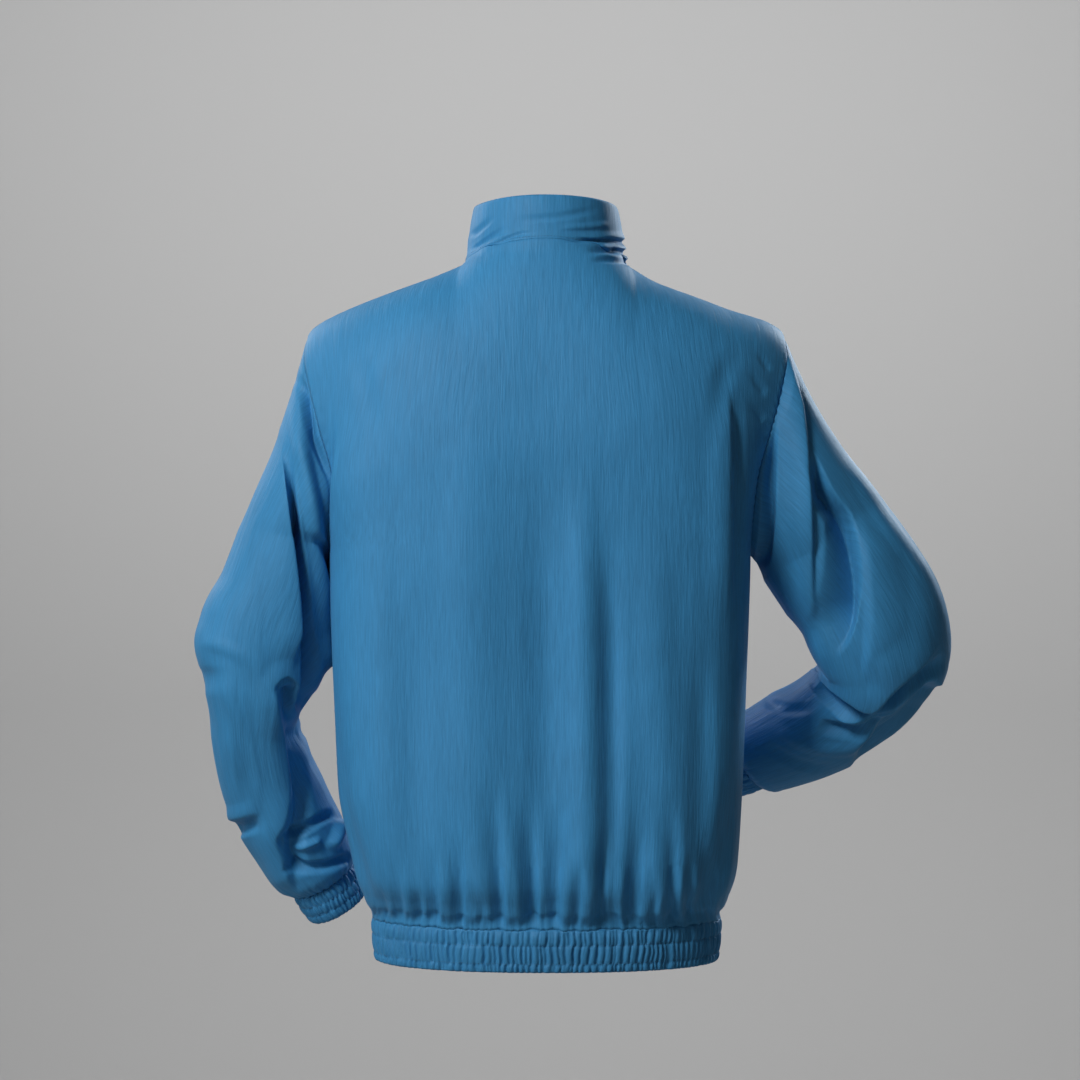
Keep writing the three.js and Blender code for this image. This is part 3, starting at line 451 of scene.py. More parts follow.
# every table: x to the wearer's left and z up, in mm, where the crease is seen on the plane y = 0 from the camera's place
BACK_CREASES = [
    dict(name="edge_left", path=[(205, -152), (206, -222), (206, -292), (205, -357), (201, -452), (196, -552), (188, -632)], half=(8, 62), depth=10.0, fade=(0.2, 0.2)),
    dict(name="crest_384", path=[(165, -230), (163, -400), (160, -560), (160, -664)], half=(16, 20), depth=2.4, fade=(0.4, 0.1)),
    dict(name="trough_416", path=[(130, -300), (129, -480), (129, -600), (126, -690)], half=(20, 22), depth=-3.2, fade=(0.45, 0.0)),
    dict(name="crest_472", path=[(80, -130), (77, -300), (75, -450), (74, -600), (76, -670)], half=(36, 50), depth=5.0, fade=(0.35, 0.08)),
    dict(name="trough_545", path=[(5, -180), (3, -330), (0, -480), (2, -600), (2, -690)], half=(30, 22), depth=-4.6, fade=(0.4, 0.0)),
    dict(name="crest_585", path=[(-36, -190), (-37, -300), (-39, -450), (-38, -570), (-36, -655)], half=(22, 24), depth=6.2, fade=(0.35, 0.1)),
    dict(name="trough_613", path=[(-64, -260), (-67, -420), (-68, -560), (-66, -690)], half=(19, 13), depth=-6.2, fade=(0.45, 0.0)),
    dict(name="crest_658", path=[(-106, -250), (-112, -420), (-112, -560), (-108, -655)], half=(32, 26), depth=4.2, fade=(0.4, 0.1)),
    dict(name="trough_702", path=[(-156, -340), (-157, -480), (-156, -600), (-154, -690)], half=(20, 15), depth=-4.2, fade=(0.45, 0.0)),
    dict(name="edge_right", path=[(-180, -128), (-182, -182), (-182, -252), (-182, -332), (-184, -400)], half=(26, 5), depth=4.5, fade=(0.2, 0.35)),
    dict(name="side_dark", path=[(-188, -140), (-190, -202), (-191, -272), (-192, -330), (-193, -380)], half=(5, 12), depth=-4.5, fade=(0.25, 0.3)),
    dict(name="tuck_380", path=[(170, -622), (167, -651), (163, -682)], half=(7, 6), spread=1.8, depth=-3.8, fade=(0.6, 0.0), plane=0.6),
    dict(name="tuck_397", path=[(153, -598), (150, -645), (147, -683)], half=(12, 6), spread=1.8, depth=-5.2, fade=(0.6, 0.0), plane=0.6),
    dict(name="tuck_415", path=[(131, -626), (130, -657), (128, -684)], half=(7, 5), spread=1.6, depth=-3.5, fade=(0.6, 0.0), plane=0.6),
    dict(name="tuck_434", path=[(114, -590), (112, -642), (112, -685)], half=(11, 5), spread=1.8, depth=-6.1, fade=(0.6, 0.0), plane=0.6),
    dict(name="tuck_461", path=[(84, -578), (85, -632), (86, -686)], half=(10, 5), spread=1.8, depth=-5.5, fade=(0.6, 0.0), plane=0.6),
    dict(name="tuck_480", path=[(66, -640), (65, -664), (64, -687)], half=(6, 5), spread=1.5, depth=-2.9, fade=(0.6, 0.0), plane=0.6),
    dict(name="tuck_500", path=[(54, -510), (48, -602), (45, -687)], half=(16, 6), spread=1.7, depth=-8.0, fade=(0.65, 0.0), plane=0.6),
    dict(name="tuck_534", path=[(19, -530), (14, -612), (12, -688)], half=(14, 6), spread=1.7, depth=-8.0, fade=(0.65, 0.0), plane=0.6),
    dict(name="tuck_558", path=[(-16, -540), (-13, -612), (-10, -688)], half=(12, 6), spread=1.6, depth=-6.7, fade=(0.6, 0.0), plane=0.6),
    dict(name="tuck_577", path=[(-36, -598), (-33, -642), (-30, -688)], half=(7, 5), spread=1.6, depth=-4.1, fade=(0.6, 0.0), plane=0.6),
    dict(name="tuck_606", path=[(-60, -570), (-59, -635), (-57, -687)], half=(13, 6), spread=1.6, depth=-6.5, fade=(0.5, 0.0), plane=0.6),
    dict(name="tuck_636", path=[(-95, -568), (-91, -632), (-89, -686)], half=(12, 6), spread=1.7, depth=-6.4, fade=(0.6, 0.0), plane=0.6),
    dict(name="tuck_655", path=[(-110, -630), (-109, -660), (-108, -685)], half=(6, 5), spread=1.5, depth=-3.2, fade=(0.6, 0.0), plane=0.6),
    dict(name="tuck_676", path=[(-122, -525), (-128, -612), (-131, -685)], half=(13, 6), spread=1.6, depth=-7.2, fade=(0.6, 0.0), plane=0.6),
    dict(name="tuck_694", path=[(-144, -598), (-147, -642), (-149, -684)], half=(9, 5), spread=1.6, depth=-4.9, fade=(0.6, 0.0), plane=0.6),
    dict(name="tuck_712", path=[(-162, -578), (-165, -632), (-167, -682)], half=(8, 6), spread=1.6, depth=-4.3, fade=(0.6, 0.0), plane=0.6),
    dict(name="pucker_left_a", path=[(228, -190), (217, -182)], half=(3, 3), depth=-1.5, fade=(0.1, 0.7)),
    dict(name="pucker_left_b", path=[(225, -200), (214, -193)], half=(3, 3), depth=-1.7, fade=(0.1, 0.7)),
    dict(name="pucker_left_c", path=[(222, -213), (211, -205)], half=(3, 3), depth=-1.6, fade=(0.1, 0.7)),
    dict(name="pucker_left_d", path=[(214, -226), (205, -214)], half=(3, 3), depth=-1.4, fade=(0.1, 0.7)),
    dict(name="pucker_left_e", path=[(232, -172), (220, -160)], half=(4, 4), depth=-1.2, fade=(0.1, 0.7)),
    dict(name="pucker_right_a", path=[(-224, -122), (-208, -100)], half=(5, 5), depth=-1.8, fade=(0.1, 0.7)),
    dict(name="pucker_right_b", path=[(-220, -146), (-200, -120)], half=(6, 6), depth=-2.0, fade=(0.1, 0.7)),
    dict(name="pucker_right_c", path=[(-218, -172), (-200, -152)], half=(6, 6), depth=-1.6, fade=(0.1, 0.7)),
    dict(name="blade_left", path=[(196, -96), (180, -140), (172, -200)], half=(14, 16), depth=-1.8, fade=(0.35, 0.5)),
    dict(name="blade_right", path=[(-190, -96), (-176, -140), (-168, -210)], half=(16, 14), depth=-2.4, fade=(0.35, 0.5)),
]
# fronts, seen from the front: the same kind of drapes, finished plainly
FRONT_CREASES = [
    dict(name="drape_a", path=[(150, -300), (146, -470), (138, -662)], half=(20, 24), depth=-4.0, fade=(0.4, 0.0)),
    dict(name="drape_b", path=[(100, -240), (98, -420), (92, -640)], half=(30, 26), depth=4.5, fade=(0.4, 0.1)),
    dict(name="drape_c", path=[(58, -360), (54, -520), (48, -664)], half=(16, 20), depth=-4.5, fade=(0.45, 0.0)),
    dict(name="drape_d", path=[(-150, -320), (-146, -480), (-140, -662)], half=(24, 18), depth=-4.2, fade=(0.4, 0.0)),
    dict(name="drape_e", path=[(-104, -260), (-100, -430), (-95, -640)], half=(26, 30), depth=4.5, fade=(0.4, 0.1)),
    dict(name="drape_f", path=[(-62, -340), (-58, -510), (-50, -664)], half=(18, 15), depth=-4.5, fade=(0.45, 0.0)),
    dict(name="tuck_a", path=[(168, -590), (164, -630), (160, -666)], half=(8, 6), depth=-3.8, fade=(0.5, 0.0), plane=0.6),
    dict(name="tuck_b", path=[(120, -560), (117, -620), (115, -666)], half=(10, 6), depth=-5.5, fade=(0.5, 0.0), plane=0.6),
    dict(name="tuck_c", path=[(84, -545), (81, -610), (78, -666)], half=(9, 6), depth=-4.9, fade=(0.5, 0.0), plane=0.6),
    dict(name="tuck_d", path=[(30, -585), (28, -630), (27, -666)], half=(7, 6), depth=-3.5, fade=(0.5, 0.0), plane=0.6),
    dict(name="tuck_e", path=[(-28, -590), (-27, -630), (-26, -666)], half=(6, 7), depth=-3.5, fade=(0.5, 0.0), plane=0.6),
    dict(name="tuck_f", path=[(-80, -550), (-78, -610), (-76, -666)], half=(6, 9), depth=-4.9, fade=(0.5, 0.0), plane=0.6),
    dict(name="tuck_g", path=[(-122, -570), (-119, -620), (-117, -666)], half=(6, 10), depth=-5.5, fade=(0.5, 0.0), plane=0.6),
    dict(name="tuck_h", path=[(-168, -590), (-165, -630), (-162, -666)], half=(6, 8), depth=-3.8, fade=(0.5, 0.0), plane=0.6),
]
# sleeves, seen from behind
SLEEVE_LEFT_CREASES = [
    dict(name="arm_valley", path=[(246, -124), (238, -157), (230, -187), (218, -214), (209, -237), (207, -282), (208, -352)], half=(10, 8), depth=-12.0, fade=(0.12, 0.3)),
    dict(name="ridge_inner", path=[(252, -152), (244, -202), (234, -252), (226, -307), (220, -362), (219, -402), (228, -444)], half=(12, 11), depth=8.0, fade=(0.2, 0.15)),
    dict(name="gap", path=[(260, -192), (256, -252), (248, -312), (243, -362), (238, -407), (241, -452), (248, -474)], half=(8, 12), spread=0.6, depth=-27.0, fade=(0.4, 0.12)),
    dict(name="plane_edge", path=[(278, -132), (270, -202), (263, -272), (257, -332), (254, -382), (256, -424)], half=(30, 7), depth=6.0, fade=(0.3, 0.15), pull=(-8, 0)),
    dict(name="pocket", path=[(238, -280), (224, -300), (215, -332), (216, -367)], half=(9, 8), depth=-7.0, fade=(0.2, 0.3)),
    dict(name="hook_hollow", path=[(259, -436), (257, -452), (255, -482)], half=(9, 10), depth=-13.0, fade=(0.15, 0.4)),
    dict(name="hook_brow", path=[(276, -446), (268, -430), (258, -425), (249, -432), (244, -448)], half=(4, 16), depth=2.0, fade=(0.3, 0.3), pull=(0, -4)),
    dict(name="lobe", path=[(216, -392), (211, -432), (226, -464), (246, -474)], half=(14, 9), depth=6.5, fade=(0.2, 0.2), pull=(0, -8)),
    dict(name="fore_edge", path=[(278, -424), (271, -452), (265, -497), (259, -542), (262, -572), (270, -590), (264, -610), (251, -647)], half=(26, 6), depth=6.0, fade=(0.15, 0.1)),
    dict(name="fore_fall", path=[(256, -472), (253, -512), (247, -557), (254, -587), (256, -602), (246, -632)], half=(6, 16), depth=-9.0, fade=(0.1, 0.15)),
    dict(name="band_a", path=[(263, -590), (246, -584), (226, -572), (210, -564)], half=(7, 8), depth=-8.0, fade=(0.1, 0.2)),
    dict(name="bulge", path=[(216, -604), (208, -587), (204, -570)], half=(8, 9), depth=7.0, fade=(0.3, 0.3)),
    dict(name="light_crease", path=[(256, -604), (240, -598), (223, -591)], half=(5, 6), depth=5.0, fade=(0.3, 0.2)),
    dict(name="band_b", path=[(262, -614), (241, -619), (216, -616), (194, -607)], half=(9, 7), depth=-8.0, fade=(0.12, 0.15)),
    dict(name="outer_a", path=[(296, -150), (304, -240), (318, -340)], half=(16, 18), depth=-1.6, fade=(0.4, 0.4)),
    dict(name="outer_b", path=[(330, -408), (314, -470), (306, -540)], half=(14, 14), depth=2.6, fade=(0.3, 0.4)),
    dict(name="outer_c", path=[(344, -392), (316, -402), (290, -420)], half=(10, 10), depth=2.0, fade=(0.2, 0.5)),
    dict(name="outer_d", path=[(330, -440), (306, -500), (292, -570)], half=(12, 12), depth=-2.4, fade=(0.3, 0.3)),
    dict(name="wrist_notch", path=[(324, -584), (304, -581), (280, -574)], half=(9, 13), depth=-9.0, fade=(0.0, 0.5)),
    dict(name="wrist_puff", path=[(330, -574), (306, -568), (284, -560)], half=(10, 14), depth=3.0, fade=(0.0, 0.5)),
    dict(name="elbow_point", path=[(362, -394), (340, -396), (310, -402)], half=(30, 26), depth=3.0, fade=(0.0, 0.6)),
    dict(name="elbow_below", path=[(352, -432), (336, -430), (314, -432)], half=(18, 14), depth=-3.0, fade=(0.0, 0.6)),
]
SLEEVE_RIGHT_CREASES = [
    dict(name="arm_trough", path=[(-231, -104), (-227, -142), (-224, -182), (-223, -232), (-221, -282), (-215, -322)], half=(9, 9), depth=-11.0, fade=(0.25, 0.1)),
    dict(name="ridge", path=[(-235, -97), (-243, -127), (-250, -162), (-255, -202), (-259, -242), (-261, -292), (-263, -342), (-266, -382)], half=(22, 8), depth=6.5, pull=(-4, 0), fade=(0.25, 0.15)),
    dict(name="valley", path=[(-266, -202), (-284, -244), (-304, -274), (-310, -327), (-306, -364), (-298, -390), (-285, -408)], half=(46, 7), spread=0.32, depth=-26.0, fade=(0.22, 0.25), plane=0.7),
    dict(name="panel_crest", path=[(-318, -262), (-326, -332), (-328, -382), (-324, -436)], half=(12, 40), depth=5.0, fade=(0.3, 0.15)),
    dict(name="fore_under", path=[(-400, -440), (-386, -454), (-362, -476), (-336, -501), (-306, -524)], half=(18, 24), depth=-25.0, fade=(0.1, 0.25)),
    dict(name="lip", path=[(-260, -382), (-266, -407), (-276, -424), (-299, -444), (-326, -458), (-349, -435), (-381, -407), (-399, -389)], half=(5, 34), depth=4.5, fade=(0.1, 0.2), pull=(0, -5)),
    dict(name="under_lip", path=[(-266, -424), (-289, -451), (-316, -466), (-330, -470), (-354, -448), (-384, -421), (-402, -404)], half=(13, 6), depth=-14.0, fade=(0.1, 0.2)),
    dict(name="second_fold", path=[(-282, -464), (-299, -470), (-322, -472), (-344, -464), (-364, -445), (-389, -410)], half=(5, 6), depth=3.0, fade=(0.15, 0.3), pull=(0, -3)),
    dict(name="dark_band", path=[(-272, -474), (-304, -482), (-334, -480), (-352, -470)], half=(13, 6), depth=-9.0, fade=(0.15, 0.25)),
    dict(name="fore_a", path=[(-222, -476), (-262, -498), (-304, -502), (-344, -488)], half=(9, 9), depth=3.0, fade=(0.3, 0.3)),
    dict(name="fore_b", path=[(-216, -496), (-256, -516), (-296, -520)], half=(8, 8), depth=-3.0, fade=(0.2, 0.4)),
    dict(name="fore_c", path=[(-216, -452), (-244, -462), (-272, -458)], half=(8, 8), depth=-3.0, fade=(0.2, 0.4)),
    dict(name="rim", path=[(-300, -204), (-330, -262), (-362, -306), (-392, -345)], half=(10, 14), depth=2.5, fade=(0.3, 0.3)),
]
COLLAR_CREASES = [
    dict(name="stack_a", path=[(-10, 6), (-44, 6), (-64, 8), (-82, 5)], half=(3, 5), depth=-3.2, fade=(0.4, 0.0)),
    dict(name="stack_a_lip", path=[(-30, 11), (-50, 11), (-66, 12), (-82, 10)], half=(5, 6), depth=2.2, fade=(0.4, 0.0), pull=(0, -1.5)),
    dict(name="stack_b", path=[(-40, -3), (-59, -3), (-82, -6)], half=(3, 4), depth=-3.4, fade=(0.35, 0.0)),
    dict(name="stack_b_lip", path=[(-40, 2), (-60, 2), (-82, 0)], half=(3, 3), depth=2.4, fade=(0.35, 0.0), pull=(0, -1.2)),
    dict(name="stack_c", path=[(-44, -13), (-62, -12), (-82, -15)], half=(3, 4), depth=-3.0, fade=(0.35, 0.0)),
    dict(name="stack_c_lip", path=[(-42, -8), (-62, -7), (-82, -10)], half=(3, 3), depth=2.2, fade=(0.35, 0.0), pull=(0, -1.2)),
    dict(name="diag_a", path=[(74, -4), (56, 10), (38, 22)], half=(4, 4), depth=-1.8, fade=(0.2, 0.5)),
    dict(name="diag_b", path=[(76, 10), (62, 22), (50, 33)], half=(4, 5), depth=-1.5, fade=(0.2, 0.5)),
    dict(name="diag_c", path=[(68, -9), (46, 8), (24, 16)], half=(4, 4), depth=1.6, fade=(0.2, 0.5)),
    dict(name="diag_d", path=[(50, 2), (30, 12), (6, 15)], half=(4, 4), depth=-1.2, fade=(0.3, 0.5)),
    dict(name="soft_a", path=[(32, 28), (-4, 30), (-30, 34), (-58, 40)], half=(5, 6), depth=-1.2, fade=(0.3, 0.3)),
    dict(name="soft_b", path=[(-10, 20), (-40, 21), (-66, 24)], half=(4, 5), depth=1.2, fade=(0.3, 0.2)),
]
# GEOMETRY END


def seeded(seed):
    return np.random.default_rng(seed)


# ---------------------------------------------------------------- meshes
MM = 0.001
CLOTH_THICK = 0.7  # mm


def build_mesh(name, verts, faces, uvs, thick, material, flip):
    """faces: list of (index array n x k); uvs: matching list of (n x k x 2), all in mm"""
    sizes = np.concatenate([np.full(len(f), f.shape[1], dtype=np.int32) for f in faces])
    if flip:
        faces = [f[:, ::-1] for f in faces]
        uvs = [c[:, ::-1] for c in uvs]
    index = np.concatenate([f.ravel() for f in faces]).astype(np.int32)
    corner = np.concatenate([c.reshape(-1, 2) for c in uvs]) * MM
    mesh = bpy.data.meshes.new(name)
    mesh.vertices.add(len(verts))
    mesh.vertices.foreach_set("co", (verts * MM).astype(np.float32).ravel())
    mesh.loops.add(len(index))
    mesh.loops.foreach_set("vertex_index", index)
    mesh.polygons.add(len(sizes))
    mesh.polygons.foreach_set("loop_start", np.concatenate([[0], np.cumsum(sizes)[:-1]]).astype(np.int32))
    mesh.polygons.foreach_set("loop_total", sizes)
    mesh.polygons.foreach_set("use_smooth", np.ones(len(sizes), dtype=bool))
    layer = mesh.uv_layers.new(name="cloth_mm")
    layer.data.foreach_set("uv", corner.astype(np.float32).ravel())
    mesh.update()
    mesh.validate()
    obj = bpy.data.objects.new(name, mesh)
    bpy.context.scene.collection.objects.link(obj)
    if material is not None:
        mesh.materials.append(material)
    if thick:
        solid = obj.modifiers.new("thickness", "SOLIDIFY")
        solid.thickness = thick * MM
        solid.offset = -1.0
        solid.use_even_offset = False
        solid.use_rim = True
    return obj


def grid_mesh(name, p, uv, loop=False, flip=False, thick=CLOTH_THICK, material=None, fine_rows=None):
    """quads over a grid of points in mm; rows from fine_rows on use every column, rows before it every second one"""
    rows, cols = p.shape[:2]
    # uv per corner, so that a closed ring has no smeared column
    ucol = np.concatenate([uv[0], uv[0][:, :1] + uv[2]], 1) if loop else uv[0]
    vcol = np.concatenate([uv[1], uv[1][:, :1]], 1) if loop else uv[1]
    jmax = cols if loop else cols - 1
    lo, hi = (0, rows) if fine_rows is None else fine_rows
    used = np.zeros((rows, cols), bool)
    used[lo:hi] = True
    used[:, ::2] = True
    used[:, -1] |= not loop
    number = np.cumsum(used.ravel()).reshape(rows, cols) - 1
    verts = p[used]

    def corner_uv(i, j):
        return np.stack([ucol[i, j], vcol[i, j]], -1)

    def vertex(i, j):
        return number[i, j % cols] if loop else number[i, j]

    faces, uvs = [], []

    def add(ring):
        faces.append(np.stack([vertex(i, j) for i, j in ring], 1))
        uvs.append(np.stack([corner_uv(i, j) for i, j in ring], 1))

    def block(r0, r1, step):
        if r1 <= r0:
            return
        i, j = np.meshgrid(np.arange(r0, r1), np.arange(0, jmax, step), indexing="ij")
        i, j = i.ravel(), j.ravel()
        add([(i, j), (i, j + step), (i + 1, j + step), (i + 1, j)])

    if fine_rows is None:
        block(0, rows - 1, 1)
    else:
        assert jmax % 2 == 0
        j = np.arange(0, jmax, 2)
        one = np.ones_like(j)
        block(0, lo - 1, 2)
        if lo > 0:
            i = one * (lo - 1)
            add([(i, j), (i, j + 2), (i + 1, j + 2), (i + 1, j + 1), (i + 1, j)])
        block(lo, hi - 1, 1)
        if hi < rows:
            i = one * (hi - 1)
            add([(i, j), (i, j + 1), (i, j + 2), (i + 1, j + 2), (i + 1, j)])
            block(hi, rows - 1, 2)
    return build_mesh(name, verts, faces, uvs, thick, material, flip)


def arc(p, axis):
    d = np.linalg.norm(np.diff(p, axis=axis), axis=-1)
    zero = np.zeros_like(d[:1]) if axis == 0 else np.zeros_like(d[:, :1])
    return np.cumsum(np.concatenate([zero, d], axis), axis)


def edged(lo, hi, count, near_lo=(), near_hi=()):
    """even steps with a few extra ones close to each end"""
    base = list(np.linspace(lo, hi, count))
    return np.array(sorted(set([round(v, 7) for v in base + [lo + e for e in near_lo] + [hi - e for e in near_hi]])))


# ---------------------------------------------------------------- materials
def new_material(name):
    m = bpy.data.materials.new(name)
    m.use_nodes = True
    t = m.node_tree
    for n in list(t.nodes):
        t.nodes.remove(n)
    out = t.nodes.new("ShaderNodeOutputMaterial")
    bsdf = t.nodes.new("ShaderNodeBsdfPrincipled")
    t.links.new(bsdf.outputs[0], out.inputs[0])
    return m, t, bsdf


def cloth_material(name, colour, rough=0.62, streak=0.55, weave=1.0, sheen=0.06):
    """thin woven cloth with lengthwise crinkle: colour and bump follow the cloth's own coordinates"""
    m, t, bsdf = new_material(name)
    n, link = t.nodes, t.links
    uv = n.new("ShaderNodeUVMap")
    uv.uv_map = "cloth_mm"

    def scaled(sx, sy):
        node = n.new("ShaderNodeVectorMath")
        node.operation = "MULTIPLY"
        node.inputs[1].default_value = (sx, sy, 1)
        link.new(uv.outputs[0], node.inputs[0])
        return node.outputs[0]

    def noise(vec, scale, detail, rough_):
        node = n.new("ShaderNodeTexNoise")
        node.noise_dimensions = "2D"
        node.inputs["Scale"].default_value = scale
        node.inputs["Detail"].default_value = detail
        node.inputs["Roughness"].default_value = rough_
        node.inputs["Distortion"].default_value = 0.35
        link.new(vec, node.inputs["Vector"])
        return node.outputs["Fac"]

    fine = noise(scaled(620, 34), 1.0, 4.0, 0.62)      # slubs: about 1.6 mm wide, 30 mm long
    broad = noise(scaled(210, 17), 1.0, 3.0, 0.55)     # wider crinkle
    cloud = noise(scaled(14, 9), 1.0, 2.0, 0.5)        # slow change of tone
    ramp = n.new("ShaderNodeMapRange")
    ramp.inputs["From Min"].default_value = 0.30
    ramp.inputs["From Max"].default_value = 0.70
    ramp.inputs["To Min"].default_value = 0.90
    ramp.inputs["To Max"].default_value = 1.10
    link.new(fine, ramp.inputs["Value"])
    ramp2 = n.new("ShaderNodeMapRange")
    ramp2.inputs["From Min"].default_value = 0.3
    ramp2.inputs["From Max"].default_value = 0.7
    ramp2.inputs["To Min"].default_value = 0.96
    ramp2.inputs["To Max"].default_value = 1.04
    link.new(cloud, ramp2.inputs["Value"])
    mul = n.new("ShaderNodeMath")
    mul.operation = "MULTIPLY"
    link.new(ramp.outputs[0], mul.inputs[0])
    link.new(ramp2.outputs[0], mul.inputs[1])
    tint = n.new("ShaderNodeVectorMath")
    tint.operation = "SCALE"
    tint.inputs[0].default_value = colour
    link.new(mul.outputs[0], tint.inputs["Scale"])
    link.new(tint.outputs[0], bsdf.inputs["Base Color"])
    # weave: a fine grid of threads, only seen close up
    weave_wave = []
    for direction in ("X", "Y"):
        w = n.new("ShaderNodeTexWave")
        w.wave_type = "BANDS"
        w.bands_direction = direction
        w.inputs["Scale"].default_value = 620.0
        link.new(uv.outputs[0], w.inputs["Vector"])
        weave_wave.append(w.outputs["Fac"])
    weave_mix = n.new("ShaderNodeMath")
    weave_mix.operation = "MULTIPLY"
    link.new(weave_wave[0], weave_mix.inputs[0])
    link.new(weave_wave[1], weave_mix.inputs[1])
    bumps = None
    for src, strength, distance in ((broad, 0.70 * streak, 0.0011), (fine, 0.8 * streak, 0.00055), (weave_mix.outputs[0], 0.25 * weave, 0.00008)):
        b = n.new("ShaderNodeBump")
        b.inputs["Strength"].default_value = strength
        b.inputs["Distance"].default_value = distance
        link.new(src, b.inputs["Height"])
        if bumps is not None:
            link.new(bumps, b.inputs["Normal"])
        bumps = b.outputs[0]
    link.new(bumps, bsdf.inputs["Normal"])
    rr = n.new("ShaderNodeMapRange")
    rr.inputs["To Min"].default_value = rough - 0.07
    rr.inputs["To Max"].default_value = rough + 0.07
    link.new(broad, rr.inputs["Value"])
    link.new(rr.outputs[0], bsdf.inputs["Roughness"])
    bsdf.inputs["Specular IOR Level"].default_value = 0.30
    bsdf.inputs["Sheen Weight"].default_value = sheen
    bsdf.inputs["Sheen Roughness"].default_value = 0.45
    bsdf.inputs["Sheen Tint"].default_value = (0.55, 0.78, 1.0, 1.0)
    return m


BLUE = (0.040, 0.245, 0.50)
cloth = cloth_material("shell_cloth_blue", BLUE)
rib_cloth = cloth_material("elastic_cloth_blue", (0.038, 0.23, 0.47), streak=0.4)
tape_cloth = cloth_material("zip_tape_blue", (0.036, 0.15, 0.29), rough=0.75, streak=0.2, weave=2.0, sheen=0.1)


def simple_material(name, colour, rough, metal, scale=900.0, bump=0.1):
    m, t, bsdf = new_material(name)
    n, link = t.nodes, t.links
    coord = n.new("ShaderNodeTexCoord")
    ns = n.new("ShaderNodeTexNoise")
    ns.inputs["Scale"].default_value = scale
    ns.inputs["Detail"].default_value = 3.0
    link.new(coord.outputs["Object"], ns.inputs["Vector"])
    ramp = n.new("ShaderNodeMapRange")
    ramp.inputs["To Min"].default_value = 0.85
    ramp.inputs["To Max"].default_value = 1.15
    link.new(ns.outputs["Fac"], ramp.inputs["Value"])
    tint = n.new("ShaderNodeVectorMath")
    tint.operation = "SCALE"
    tint.inputs[0].default_value = colour
    link.new(ramp.outputs[0], tint.inputs["Scale"])
    link.new(tint.outputs[0], bsdf.inputs["Base Color"])
    rr = n.new("ShaderNodeMapRange")
    rr.inputs["To Min"].default_value = rough - 0.06
    rr.inputs["To Max"].default_value = rough + 0.06
    link.new(ns.outputs["Fac"], rr.inputs["Value"])
    link.new(rr.outputs[0], bsdf.inputs["Roughness"])
    b = n.new("ShaderNodeBump")
    b.inputs["Strength"].default_value = bump
    b.inputs["Distance"].default_value = 0.0002
    link.new(ns.outputs["Fac"], b.inputs["Height"])
    link.new(b.outputs[0], bsdf.inputs["Normal"])
    bsdf.inputs["Metallic"].default_value = metal
    return m


teeth_plastic = simple_material("zip_teeth_blue", (0.04, 0.155, 0.30), 0.38, 0.0, 700, 0.08)
zip_paint = simple_material("zip_paint_blue", (0.045, 0.17, 0.32), 0.32, 0.35, 500, 0.06)
thread = simple_material("thread_blue", (0.05, 0.21, 0.40), 0.6, 0.0, 1500, 0.2)

pieces = {}


def register(name, obj, body, node):
    pieces[name] = obj
    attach(obj, body)
    if node:
        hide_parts(node)
    return obj


BODY_NAME = "jacket"

# ---------------------------------------------------------------- body panels
def tuck_in(dist, depth=0.9, width=2.2):
    """how far cloth turns in at a sewn edge"""
    return -depth * np.exp(-(dist / width) ** 2)


def steps(count, dense=(), power=1.0):
    """count places from 0 to 1, closer together inside each (from, to, how much)"""
    w = np.linspace(0, 1, 2001)
    rate = np.ones_like(w)
    for lo, hi, much in dense:
        soft = 0.03
        rate += (much - 1) * ease((w - lo + soft) / (2 * soft)) * ease((hi + soft - w) / (2 * soft))
    run = np.concatenate([[0], np.cumsum((rate[1:] + rate[:-1]) / 2)])
    out = np.interp(np.linspace(0, run[-1], count), run, w)
    out[0], out[-1] = 0.0, 1.0
    return out


def held(p, passes, loop=False):
    """smoothed, with its outline kept"""
    q = blur(p, passes, loop)
    q[0], q[-1] = p[0], p[-1]
    if not loop:
        q[:, 0], q[:, -1] = p[:, 0], p[:, -1]
    return q


def snap(p, edge, dist, line, reach=9.0, width=4.0):
    """brings an edge onto a line that another piece has, and the cloth near it along; edge: index of the points on the
    edge, dist: mm from that edge for the whole grid"""
    e = p[edge]
    a, b = line[:-1], line[1:]
    ab = b - a
    w = ((e[:, None] - a[None]) * ab[None]).sum(-1) / np.maximum((ab ** 2).sum(-1), 1e-12)[None]
    q = a[None] + np.clip(w, 0, 1)[..., None] * ab[None]
    far = np.linalg.norm(q - e[:, None], axis=-1)
    k = far.argmin(1)
    rows_ = np.arange(len(e))
    delta = q[rows_, k] - e
    delta *= (far[rows_, k] < reach)[:, None]
    fall = np.exp(-(dist / width) ** 2)[..., None]
    if isinstance(edge[0], slice):   # a column
        return p + delta[:, None] * fall
    return p + delta[None] * fall


def hem_gathers(pos, height, seed, spacing=6.8, long=(9, 44), depth=(1.1, 3.2)):
    """small gathers that rise from the gather line; pos: mm along the hem, height: mm above it"""
    rng = seeded(seed)
    total = np.zeros(pos.shape)
    x = -420.0
    while x < 420:
        wide = spacing * rng.uniform(0.30, 0.50)
        tall = rng.uniform(*long)
        deep = rng.uniform(*depth)
        lean = rng.uniform(-0.14, 0.14)
        d = (pos - x - lean * height) / (wide * (1 + 0.8 * height / tall))
        total -= deep * np.clip(1 - np.abs(d), 0, 1) ** 1.4 * np.clip(1 - height / tall, 0, 1) ** 1.2
        x += spacing * rng.uniform(0.6, 1.4)
    return total


